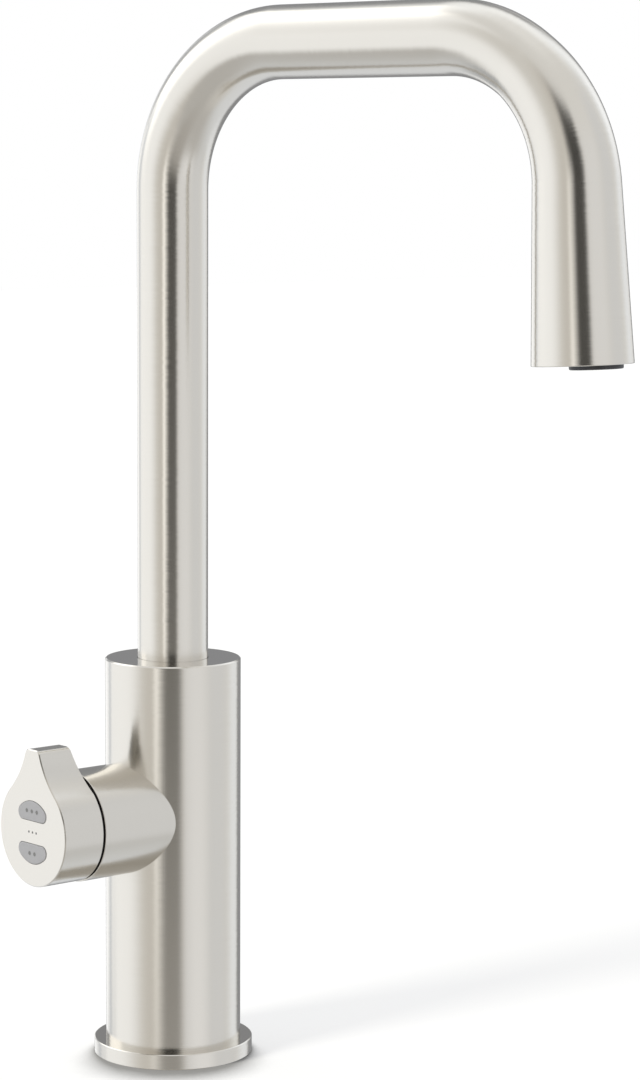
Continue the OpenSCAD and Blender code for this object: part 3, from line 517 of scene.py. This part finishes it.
on_nozzle = ON_OUTLET @ Matrix.Translation((NOZZLE_OFFSET, 0, 0))
insert = lathe("outlet_plug", [
    (2, INSERT_TOP, 0), (INSERT_R, INSERT_TOP, 0), (INSERT_R, INSERT_RECESS, INSERT_EDGE),
    (2, INSERT_RECESS, 0)], PLASTIC, False, ON_OUTLET, 128)
joined(insert, [cylinder(NOZZLE_R, -PAST, NOZZLE_TOP, on_nozzle)], "DIFFERENCE")
crisp(insert)
fit(insert, "swivel_spout", "outlet_insert", "black_plastic")

nozzle = lathe("water_nozzle", [
    (NOZZLE_HOLE_R, NOZZLE_TOP, 0), (NOZZLE_R, NOZZLE_TOP, 0), (NOZZLE_R, -NOZZLE_PROUD, 0.45),
    (NOZZLE_IN, -NOZZLE_PROUD, 0.25), (NOZZLE_IN, NOZZLE_TOP - NOZZLE_PLATE, 0),
    (NOZZLE_HOLE_R, NOZZLE_TOP - NOZZLE_PLATE, 0)], PLASTIC, True, on_nozzle, 96)
crisp(nozzle)
fit(nozzle, "swivel_spout", "outlet_nozzle", "black_plastic")

# ------------------------------------------------------------------ handle


def arc(x, y, r, start, end, steps):
    """Points (x, y, outward x, outward y) on an arc; a hollow one has a negative radius."""
    turn = -1 if r < 0 else 1
    points = []
    for i in range(steps + 1):
        a = start + (end - start) * i / steps
        points.append((x + abs(r) * cos(a), y + abs(r) * sin(a), turn * cos(a), turn * sin(a)))
    return points


def teardrop():
    """Outline of the handle, lever up along x, with the direction outwards at each point."""
    flank_x = (KNOB_R + FLANK_R) * cos(FLANK_ANGLE)
    flank_y = (KNOB_R + FLANK_R) * sin(FLANK_ANGLE)
    tip_x = LEVER_TIP - TIP_R
    tip_y = flank_y - math.sqrt((FLANK_R + TIP_R) ** 2 - (flank_x - tip_x) ** 2)
    lean = math.degrees(math.atan2(flank_y - tip_y, flank_x - tip_x))
    fold = math.degrees(math.acos(SLOPE_START / KNOB_R))
    half = (arc(tip_x, tip_y, TIP_R, 0, lean, 14)
            + arc(flank_x, flank_y, -FLANK_R, lean + 180, FLANK_ANGLE + 180, 30)[1:]
            + [arc(0, 0, KNOB_R, fold, fold, 1)[0]]
            + arc(0, 0, KNOB_R, fold, 180, 70)[1:])
    return half + [(x, -y, dx, -dy) for x, y, dx, dy in reversed(half[:-1])]


def lever_back(x):
    """Height of the handle's back face over its plane: the lever's back slopes away."""
    return max(0, (x - SLOPE_START) * math.tan(math.radians(SLOPE)))


def handle_body():
    outline = teardrop()

    def ring(inset, height):
        return [(x - dx * inset, y - dy * inset, height(x)) for x, y, dx, dy in outline]

    rings = [ring(REAR_BEVEL, lever_back), ring(0, lambda x: lever_back(x) + REAR_BEVEL)]
    rings.append(ring(0, lambda x: KNOB_DEPTH - FACE_BEVEL))
    rings.append(ring(FACE_BEVEL, lambda x: KNOB_DEPTH))
    rings.append(ring(FACE_BEVEL + 0.5, lambda x: KNOB_DEPTH))
    body = skin("handle_body", rings, NICKEL, False, ON_HANDLE)
    # the back is two flat faces that meet where the slope starts
    work = bmesh.new()
    work.from_mesh(body.data)
    back = min(work.faces, key=lambda f: len(f.verts) < 20 or -f.calc_center_median().x)
    ends = sorted(back.verts, key=lambda v: abs(v.co.z - (BOSS_Z + SLOPE_START) * MM))[:2]
    bmesh.utils.face_split(back, ends[0], ends[1])
    work.to_mesh(body.data)
    work.free()
    return body


def d_outline(grow):
    """Outline of a button, its straight edge towards the handle's axis."""
    r, corner, edge = BUTTON_R + grow, BUTTON_CORNER + grow, BUTTON_EDGE - grow
    x = edge + corner
    y = math.sqrt((r - corner) ** 2 - x ** 2)
    wide = math.degrees(math.atan2(y, x))
    return (arc(0, 0, r, -wide, wide, 40) + arc(x, y, corner, wide, 180, 20)
            + arc(x, -y, corner, 180, 360 - wide, 20)[:-1])


def d_ring(grow, z, inset=0.0):
    return [(x - dx * inset, y - dy * inset, z) for x, y, dx, dy in d_outline(grow)]


handle = handle_body()
hole = [d_ring(BUTTON_GAP, 10), d_ring(BUTTON_GAP, KNOB_DEPTH + PAST)]
button_holes = [skin("tool", hole, NICKEL, False, ON_HANDLE @ Matrix.Rotation(turn, 4, "Z"))
                for turn in (0, math.pi)]
on_grub_screw = (ON_HANDLE @ Matrix.Translation((0, 0, GRUB_Z))
                 @ Matrix.Rotation(math.radians(90), 4, "Y"))
joined(handle, [
    cylinder(HUB_R, -PAST, KNOB_DEPTH - FACE_WALL, ON_HANDLE, 128), *button_holes,
    cylinder(GRUB_R, -KNOB_R - 2 * PAST, -HUB_R + 2 * PAST, on_grub_screw, 32),
], "DIFFERENCE")
crisp(handle)
# what faces the column was cast and not brushed, and is darkened as painted shade
handle.data.materials.append(PAINTED_SHADE_BACK)
for face in handle.data.polygons:
    if face.normal.x > 0.9:
        face.material_index = len(handle.data.materials) - 1
fit(handle, "turning_handle", "handle_shell", "satin_nickel")


def push_button(name, place):
    """Cap on a flange that keeps it in the handle, with a stem over its switch."""
    top = BUTTON_TOP - BUTTON_BACK
    rings = [d_ring(BUTTON_FLANGE, -BUTTON_FLANGE_H), d_ring(BUTTON_FLANGE, 0), d_ring(0, 0)]
    for a in range(0, 91, 18):
        rings.append(d_ring(0, top - BUTTON_ROUND * (1 - sin(a)), BUTTON_ROUND * (1 - cos(a))))
    rings.append(d_ring(0, top, 1.2))
    button = skin(name, rings, BUTTON, False, place)
    stem = cylinder(BUTTON_STEM_R, -BUTTON_FLANGE_H - 1, -BUTTON_FLANGE_H + 0.2,
                    place @ Matrix.Translation((BUTTON_STEM_X, 0, 0)), 32)
    joined(button, [stem], "UNION")
    crisp(button)
    return button


select = push_button("select_cap", ON_SELECT)
fit(select, "select_key", "select_button", "button_metal")
safety = push_button("safety_cap", ON_SAFETY)
fit(safety, "safety_key", "safety_button", "button_metal")

# ------------------------------------------------------------------ what repeats


def rule(name, values):
    """A geometry node tree with named inputs, its input node and its sockets' identifiers."""
    tree = bpy.data.node_groups.new(name, "GeometryNodeTree")
    kinds = {int: "NodeSocketInt", float: "NodeSocketFloat"}
    tree.interface.new_socket(name="Geometry", in_out="OUTPUT", socket_type="NodeSocketGeometry")
    tree.interface.new_socket(name="Geometry", in_out="INPUT", socket_type="NodeSocketGeometry")
    names = {}
    for key, value in values.items():
        kind = kinds.get(type(value), "NodeSocketMaterial")
        made = tree.interface.new_socket(name=key, in_out="INPUT", socket_type=kind)
        names[key] = made.identifier
    return tree, tree.nodes.new("NodeGroupInput"), names


def end_rule(tree, inputs, geometry):
    real = add(tree, "GeometryNodeRealizeInstances", Geometry=geometry)
    dressed = add(tree, "GeometryNodeSetMaterial", Geometry=real.outputs[0],
                  Material=inputs.outputs["Finish"])
    add(tree, "NodeGroupOutput", Geometry=dressed.outputs[0])


def follow(piece, tree, names, values):
    step = piece.modifiers.new("rule", "NODES")
    step.node_group = tree
    for key, value in values.items():
        step[names[key]] = value
    bake(piece)


def placed(piece, place):
    """Puts a piece's place, in mm, in its mesh."""
    scale = Matrix.Diagonal((MM, MM, MM, 1))
    piece.data.transform(scale @ place @ scale.inverted())


def holes_in_rings():
    """Cuts three rings of round holes through a disc: the centre hole, 6 and 12."""
    values = {"Hole Radius": 0.0, "Ring Step": 0.0, "Depth": 0.0, "Finish": GREY}
    tree, inputs, names = rule("holes_in_rings", values)
    drill = add(tree, "GeometryNodeMeshCylinder", {"Vertices": 20},
                Radius=inputs.outputs["Hole Radius"], Depth=inputs.outputs["Depth"])
    drills = add(tree, "GeometryNodeJoinGeometry")
    centre = add(tree, "GeometryNodeMeshLine", {"Count": 1})
    rings = [centre.outputs[0]]
    for count in (6, 12):
        reach = add(tree, "ShaderNodeMath", {"operation": "MULTIPLY", 1: count / 6},
                    i0=inputs.outputs["Ring Step"])
        ring = add(tree, "GeometryNodeMeshCircle", {"Vertices": count}, Radius=reach.outputs[0])
        rings.append(ring.outputs[0])
    for points in rings:
        many = add(tree, "GeometryNodeInstanceOnPoints", Points=points, Instance=drill.outputs[0])
        tree.links.new(many.outputs[0], drills.inputs[0])
    real = add(tree, "GeometryNodeRealizeInstances", Geometry=drills.outputs[0])
    cut = add(tree, "GeometryNodeMeshBoolean", {"operation": "DIFFERENCE"},
              i0=inputs.outputs["Geometry"], i1=real.outputs[0])
    end_rule(tree, inputs, cut.outputs[0])
    return tree, names


def row_of_dots():
    """A row of low round dots beside each other."""
    values = {"Dots": 0, "Radius": 0.0, "Spacing": 0.0, "Height": 0.0, "Finish": ENAMEL}
    tree, inputs, names = rule("row_of_dots", values)
    last = add(tree, "ShaderNodeMath", {"operation": "SUBTRACT", 1: 1.0},
               i0=inputs.outputs["Dots"])
    span = add(tree, "ShaderNodeMath", {"operation": "MULTIPLY"}, i0=last.outputs[0],
               i1=inputs.outputs["Spacing"])
    half = add(tree, "ShaderNodeMath", {"operation": "MULTIPLY", 1: -0.5}, i0=span.outputs[0])
    start = add(tree, "ShaderNodeCombineXYZ", Y=half.outputs[0])
    step = add(tree, "ShaderNodeCombineXYZ", Y=inputs.outputs["Spacing"])
    line = add(tree, "GeometryNodeMeshLine", Count=inputs.outputs["Dots"],
               Start_Location=start.outputs[0], Offset=step.outputs[0])
    dot = add(tree, "GeometryNodeMeshCylinder", {"Vertices": 40},
              Radius=inputs.outputs["Radius"], Depth=inputs.outputs["Height"])
    many = add(tree, "GeometryNodeInstanceOnPoints", Points=line.outputs[0],
               Instance=dot.outputs[0])
    end_rule(tree, inputs, many.outputs[0])
    return tree, names


def thread_ridge():
    """Winds a four-sided rod, partly sunk, round a plain shaft as its screw thread."""
    values = {"Radius": 0.0, "Turns": 0.0, "Length": 0.0, "Ridge": 0.0, "Finish": BRASS}
    tree, inputs, names = rule("thread_ridge", values)
    coil = add(tree, "GeometryNodeCurveSpiral", {"Resolution": 40},
               Rotations=inputs.outputs["Turns"], Start_Radius=inputs.outputs["Radius"],
               End_Radius=inputs.outputs["Radius"], Height=inputs.outputs["Length"])
    section = add(tree, "GeometryNodeCurvePrimitiveCircle", {"Resolution": 4},
                  Radius=inputs.outputs["Ridge"])
    ridge = add(tree, "GeometryNodeCurveToMesh", {"Fill Caps": True}, Curve=coil.outputs[0],
                Profile_Curve=section.outputs[0])
    both = add(tree, "GeometryNodeJoinGeometry")
    tree.links.new(ridge.outputs[0], both.inputs[0])
    tree.links.new(inputs.outputs["Geometry"], both.inputs[0])
    end_rule(tree, inputs, both.outputs[0])
    return tree, names


def empty_piece(name):
    piece = bpy.data.objects.new(name, bpy.data.meshes.new(name))
    bpy.context.scene.collection.objects.link(piece)
    return piece


HOLES, DOTS, THREAD = holes_in_rings(), row_of_dots(), thread_ridge()

disc = lathe("water_straightener", [
    (2, -DISC_HALF, 0), (NOZZLE_IN, -DISC_HALF, 0.2), (NOZZLE_IN, DISC_HALF, 0), (2, DISC_HALF, 0)],
    GREY, False, UPRIGHT, 96)
follow(disc, *HOLES, {"Hole Radius": DISC_HOLE_R * MM, "Ring Step": DISC_STEP * MM,
                      "Depth": 5 * MM, "Finish": GREY})
crisp(disc)
placed(disc, on_nozzle @ Matrix.Translation((0, 0, DISC_Z - NOZZLE_PROUD)))
fit(disc, "swivel_spout", "flow_straightener", "black_plastic")

# plain dots on the buttons and on the face between them
for name, body, x, top, count, size, gap in (
        ("select_dots", "select_key", MARK_X, BUTTON_TOP, 3, MARK_R, MARK_STEP),
        ("safety_dots", "safety_key", -MARK_X, BUTTON_TOP, 2, MARK_R, MARK_STEP),
        ("face_dots", "turning_handle", 0.0, FACE_TOP, 3, FACE_MARK_R, FACE_MARK_STEP)):
    marks = empty_piece(name)
    follow(marks, *DOTS, {"Dots": count, "Radius": size * MM, "Spacing": gap * MM,
                          "Height": MARK_H * MM, "Finish": ENAMEL})
    crisp(marks)
    placed(marks, ON_AXIS @ Matrix.Translation((x, 0, top)))
    fit(marks, body, None, "button_metal")

# ------------------------------------------------------------------ under the worktop

shank = lathe("threaded_shank", [
    (SHANK_BORE_R, -SHANK_LEN, 0), (THREAD_CORE_R, -SHANK_LEN, 0.3), (THREAD_CORE_R, THREAD_TOP, 0),
    (SHANK_R, THREAD_TOP + 0.2, 0), (SHANK_R, SHANK_TOP, 0), (SHANK_BORE_R, SHANK_TOP, 0)],
    BRASS, True, UPRIGHT, 96)
# the thread is wound up from the origin, so the shank is lifted there for it and put back
thread_start = Matrix.Translation((0, 0, -SHANK_LEN + 1))
placed(shank, thread_start.inverted())
follow(shank, *THREAD, {"Radius": THREAD_LINE_R * MM, "Turns": THREAD_TURNS,
                        "Length": THREAD_LEN * MM, "Ridge": THREAD_RIDGE * MM, "Finish": BRASS})
placed(shank, thread_start)
crisp(shank)
fit(shank, "body", "shank", "bare_brass")

for node, slot, finish in (
        ("rubber_washer", "black_rubber", RUBBER), ("base_seal", "black_rubber", RUBBER),
        ("clamp_washer", "stainless_steel", STEEL), ("clamp_nut", "bare_brass", BRASS),
        ("clamp_screws", "stainless_steel", STEEL), ("hose_guide", "black_plastic", PLASTIC),
        ("boiling_pipe", "copper_pipe", COPPER), ("chilled_pipe", "copper_pipe", COPPER),
        ("spout_lock_screw", "stainless_steel", STEEL)):
    fine_copy(node, "body", slot, finish)

# ------------------------------------------------------------------ finishes of the inner CAD nodes

INNER = {
    "inlet_manifold": BRASS, "retaining_ring": BRASS, "spout_spigot": BRASS,
    "manifold_screws": STEEL, "return_spring": STEEL, "handle_hub": STEEL,
    "handle_grub_screw": STEEL, "sensor_magnet": STEEL, "board_screws": STEEL,
    "lower_bush": PLASTIC, "upper_bush": PLASTIC, "encoder_housing": PLASTIC,
    "board_carrier": PLASTIC, "push_switches": PLASTIC,
    "spigot_o_rings": RUBBER, "handle_o_ring": RUBBER, "nozzle_o_ring": SILICONE_RING,
    "thrust_washer": PTFE, "sensor_board": BOARD, "control_board": BOARD,
    "boiling_tube": HOSE, "chilled_tube": HOSE,
}
for node, finish in INNER.items():
    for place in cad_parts[node].material_slots:
        place.material = finish

# ------------------------------------------------------------------ floor, light and camera

scene = bpy.context.scene
scene.view_settings.view_transform = "Standard"

# direction from the tap to the camera, as a turn about Z
CAMERA_TURN = 130.973

# What stands round the tap in the studio. Azimuths are from the camera's direction, positive
# to its right: middle, half width, softness; lowest elevation, softness; highest, softness;
# tone and strength. Each one covers those before it.
PANELS = {
    "floor": (0, 200, 5, -120, 5, -20, 12, "#FFFEFC", 0.62),
    "floor_behind": (170, 80, 40, -120, 5, -25, 10, "#F5F9FF", 0.99),
    "floor_below": (0, 200, 5, -120, 5, -74, 10, "#FFFEFC", 0.8),
    "ceiling": (0, 200, 5, 76, 12, 120, 5, "#FDFEFF", 1.06),
    "ceiling_behind": (180, 64, 26, 48, 11, 74, 10, "#F8FBFF", 1.37),
    "left_wall": (-40, 22, 12, -26, 8, 48, 10, "#FFFCF7", 0.76),
    "left_glow": (-120, 60, 24, -25, 8, 50, 8, "#FAFCFF", 1.29),
    "left_shade": (-62, 16, 14, 20, 12, 46, 6, "#FFFEFC", 0.83),
    "left_softbox": (-121, 23, 7, 8, 6, 54, 4, "#FDFEFF", 1.95),
    "left_softbox_top": (-134, 16, 4, 38, 4, 54, 4, "#FDFEFF", 1.95),
    "left_corner": (-149, 11, 4, 8, 5, 34, 4, "#F5F9FF", 0.55),
    "left_seam": (-133, 5, 4, -40, 10, 6, 8, "#F2F7FF", 0.9),
    "left_seam_low": (-134, 20, 5, -34, 5, -17, 4, "#F5F9FF", 0.6),
    "left_seam_high": (-130, 7, 4, -3, 3, 12, 4, "#F2F7FF", 0.95),
    "strip_light": (-25, 4, 4, -11, 5, 5, 5, "#FFFEFC", 1.65),
    "right_near": (40, 20, 12, -29, 8, 32, 10, "#FBFCFF", 0.98),
    "right_low": (52, 18, 8, -27, 5, -12, 4, "#FBFCFF", 1.1),
    "right_wall": (84, 20, 14, -28, 8, 48, 8, "#F9FBFF", 0.9),
    "right_fill": (128, 14, 12, -36, 10, 56, 8, "#F5F9FF", 1.12),
    "right_glow": (137, 12, 10, 8, 10, 58, 8, "#F5F9FF", 1.4),
    "camera_side_low": (0, 18, 10, -50, 20, -6, 6, "#FFFCF7", 0.53),
    "camera_side": (1, 15, 6, -12, 6, 22, 8, "#FFFCF7", 0.08),
    "camera_side_high": (-7, 17, 7, 14, 6, 39, 6, "#FFFCF7", 0.05),
    "dark_behind": (174, 21, 5, -32, 5, 30, 8, "#F8FAFF", 0.31),
    "dark_low_behind": (164, 21, 4, -32, 5, -5, 4, "#F8FAFF", 0.33),
    "dark_top_behind": (168, 15, 4, 33, 4, 48, 4, "#F8FAFF", 0.4),
    "dark_high_behind": (190, 18, 5, 23, 5, 45, 5, "#F5F9FF", 0.33),
}


def studio():
    """Plain room of soft light for reflections: a bright ceiling, pale sides, a dark strip on
    the camera's side and a dark wall behind. The camera itself sees plain white."""
    world = bpy.data.worlds.new("studio")
    world.use_nodes = True
    tree = world.node_tree
    tree.nodes.clear()
    way = add(tree, "ShaderNodeTexCoord")
    turned = add(tree, "ShaderNodeMapping", {"Rotation": (0, 0, math.radians(CAMERA_TURN))},
                 Vector=way.outputs["Generated"])
    xyz = add(tree, "ShaderNodeSeparateXYZ", Vector=turned.outputs[0])
    azimuth = add(tree, "ShaderNodeMath", {"operation": "ARCTAN2"}, i0=xyz.outputs[1],
                  i1=xyz.outputs[0])
    height = add(tree, "ShaderNodeMath", {"operation": "ARCSINE"}, i0=xyz.outputs[2])

    def step(value, at, soft):
        """0 below a level and 1 above it, with a soft edge."""
        return add(tree, "ShaderNodeMapRange", {
            "interpolation_type": "SMOOTHSTEP", "From Min": math.radians(at - soft),
            "From Max": math.radians(at + soft)}, Value=value).outputs[0]

    def times(a, b):
        return add(tree, "ShaderNodeMath", {"operation": "MULTIPLY"}, i0=a, i1=b).outputs[0]

    def rest_of(a):
        return add(tree, "ShaderNodeMath", {"operation": "SUBTRACT", 0: 1.0}, i1=a).outputs[0]

    room = add(tree, "ShaderNodeRGB")
    room.outputs[0].default_value = linear("#F4F4F4")
    room = room.outputs[0]
    for middle, half, soft, low, low_soft, high, high_soft, tone, strength in PANELS.values():
        aside = add(tree, "ShaderNodeMath", {"operation": "SUBTRACT", 1: math.radians(middle)},
                    i0=azimuth.outputs[0])
        aside = add(tree, "ShaderNodeMath", {"operation": "WRAP", 1: math.pi, 2: -math.pi},
                    i0=aside.outputs[0])
        aside = add(tree, "ShaderNodeMath", {"operation": "ABSOLUTE"}, i0=aside.outputs[0])
        outside = step(aside.outputs[0], half, soft)
        above = step(height.outputs[0], low, low_soft)
        over = step(height.outputs[0], high, high_soft)
        part = times(times(rest_of(outside), above), rest_of(over))
        light = tuple(c * strength for c in linear(tone)[:3]) + (1.0,)
        room = add(tree, "ShaderNodeMix", {"data_type": "RGBA", 7: light}, i0=part,
                   i6=room).outputs[2]
    walls = add(tree, "ShaderNodeBackground", Color=room)
    white = add(tree, "ShaderNodeBackground", {"Color": (1, 1, 1, 1)})
    seen = add(tree, "ShaderNodeLightPath")
    both = add(tree, "ShaderNodeMixShader", i0=seen.outputs["Is Camera Ray"], i1=walls.outputs[0],
               i2=white.outputs[0])
    add(tree, "ShaderNodeOutputWorld", Surface=both.outputs[0])
    scene.world = world


def worktop():
    """Plain white worktop. The camera sees it white, with the tap's own soft shadow from the window
    light and a painted shadow under the foot: its glow is dimmed where ambient occlusion finds the
    tap close."""
    mesh = bpy.data.meshes.new("worktop")
    half = 6.0
    mesh.from_pydata([(-half, -half, 0), (half, -half, 0), (half, half, 0), (-half, half, 0)], [],
                     [(0, 1, 2, 3)])
    floor = bpy.data.objects.new("worktop", mesh)
    scene.collection.objects.link(floor)
    mat = bpy.data.materials.new("white_worktop")
    mat.use_nodes = True
    tree = mat.node_tree
    tree.nodes.clear()
    lit = add(tree, "ShaderNodeBsdfDiffuse", {"Color": linear("#FAFAFA")})
    # the painted shadow under the foot reaches further on the outlet's and the handle's side,
    # because the occlusion is felt for in a direction that leans the other way
    leaning = add(tree, "ShaderNodeCombineXYZ", {0: 0.40, 1: 0.46, 2: 0.79})
    occlusion_shade = add(tree, "ShaderNodeAmbientOcclusion", {"Distance": 42 * MM, "samples": 32},
                  Normal=leaning.outputs[0])
    # how open the worktop lies where the painted shadow is black, and where it has faded out
    black, faded = 0.53, 0.76
    depth = add(tree, "ShaderNodeMapRange", {"From Min": black, "From Max": faded},
                Value=occlusion_shade.outputs["AO"])
    # the camera sees this glow darkened by the occlusion: painted shade, not light that the tap
    # blocks
    plain = add(tree, "ShaderNodeEmission", {"Strength": 0.885}, Color=depth.outputs[0])
    shown = add(tree, "ShaderNodeMixShader", {0: 0.75}, i1=lit.outputs[0], i2=plain.outputs[0])
    seen = add(tree, "ShaderNodeLightPath")
    both = add(tree, "ShaderNodeMixShader", i0=seen.outputs["Is Camera Ray"], i1=lit.outputs[0],
               i2=shown.outputs[0])
    add(tree, "ShaderNodeOutputMaterial", Surface=both.outputs[0])
    mesh.materials.append(mat)
    floor.visible_glossy = False
    return floor


def window_light(floor):
    """Low light from the handle's side, which only draws the tap's faint shadow on the worktop."""
    turn, fall, width = -2, 14, 18  # degrees
    lamp = bpy.data.lights.new("window_light", "SUN")
    lamp.energy, lamp.angle, lamp.color = 8.3, math.radians(width), (1.0, 0.97, 0.88)
    holder = bpy.data.objects.new("window_light", lamp)
    holder.location = (-1.6, 0.05, 0.6)
    way = Vector((cos(turn), sin(turn), -math.tan(math.radians(fall))))
    holder.rotation_euler = way.to_track_quat("-Z", "Y").to_euler()
    holder.visible_glossy = False
    scene.collection.objects.link(holder)
    lit = bpy.data.collections.new("lit_by_window_light")
    lit.objects.link(floor)
    holder.light_linking.receiver_collection = lit


def photo_camera():
    """The photograph's camera, found by fitting the tap's outlines."""
    yaw, pitch, roll = -0.715117, 0.116133, -0.004489  # radians
    back, aside, up = 1164.848, 54.018, 327.468  # mm from the middle of the foot
    focal, photo_height = 3195.516, 1080  # pixels
    ahead = Vector((-math.sin(yaw), math.cos(yaw), 0))
    right = Vector((math.cos(yaw), math.sin(yaw), 0))
    look = ahead * math.cos(pitch) - Vector((0, 0, math.sin(pitch)))
    down = look.cross(right)
    across = right * math.cos(roll) + down * math.sin(roll)
    below = down * math.cos(roll) - right * math.sin(roll)
    lens = bpy.data.cameras.new("photo_camera")
    lens.sensor_fit, lens.sensor_height = "VERTICAL", 36.0
    lens.lens = focal / photo_height * lens.sensor_height
    lens.clip_start, lens.clip_end = 0.01, 60.0
    camera = bpy.data.objects.new("photo_camera", lens)
    stand = (-ahead * back + right * aside + Vector((0, 0, up))) * MM
    facing = Matrix((across, -below, -look)).transposed().to_4x4()
    camera.matrix_world = Matrix.Translation(stand) @ facing
    scene.collection.objects.link(camera)
    scene.camera = camera


studio()
window_light(worktop())
photo_camera()
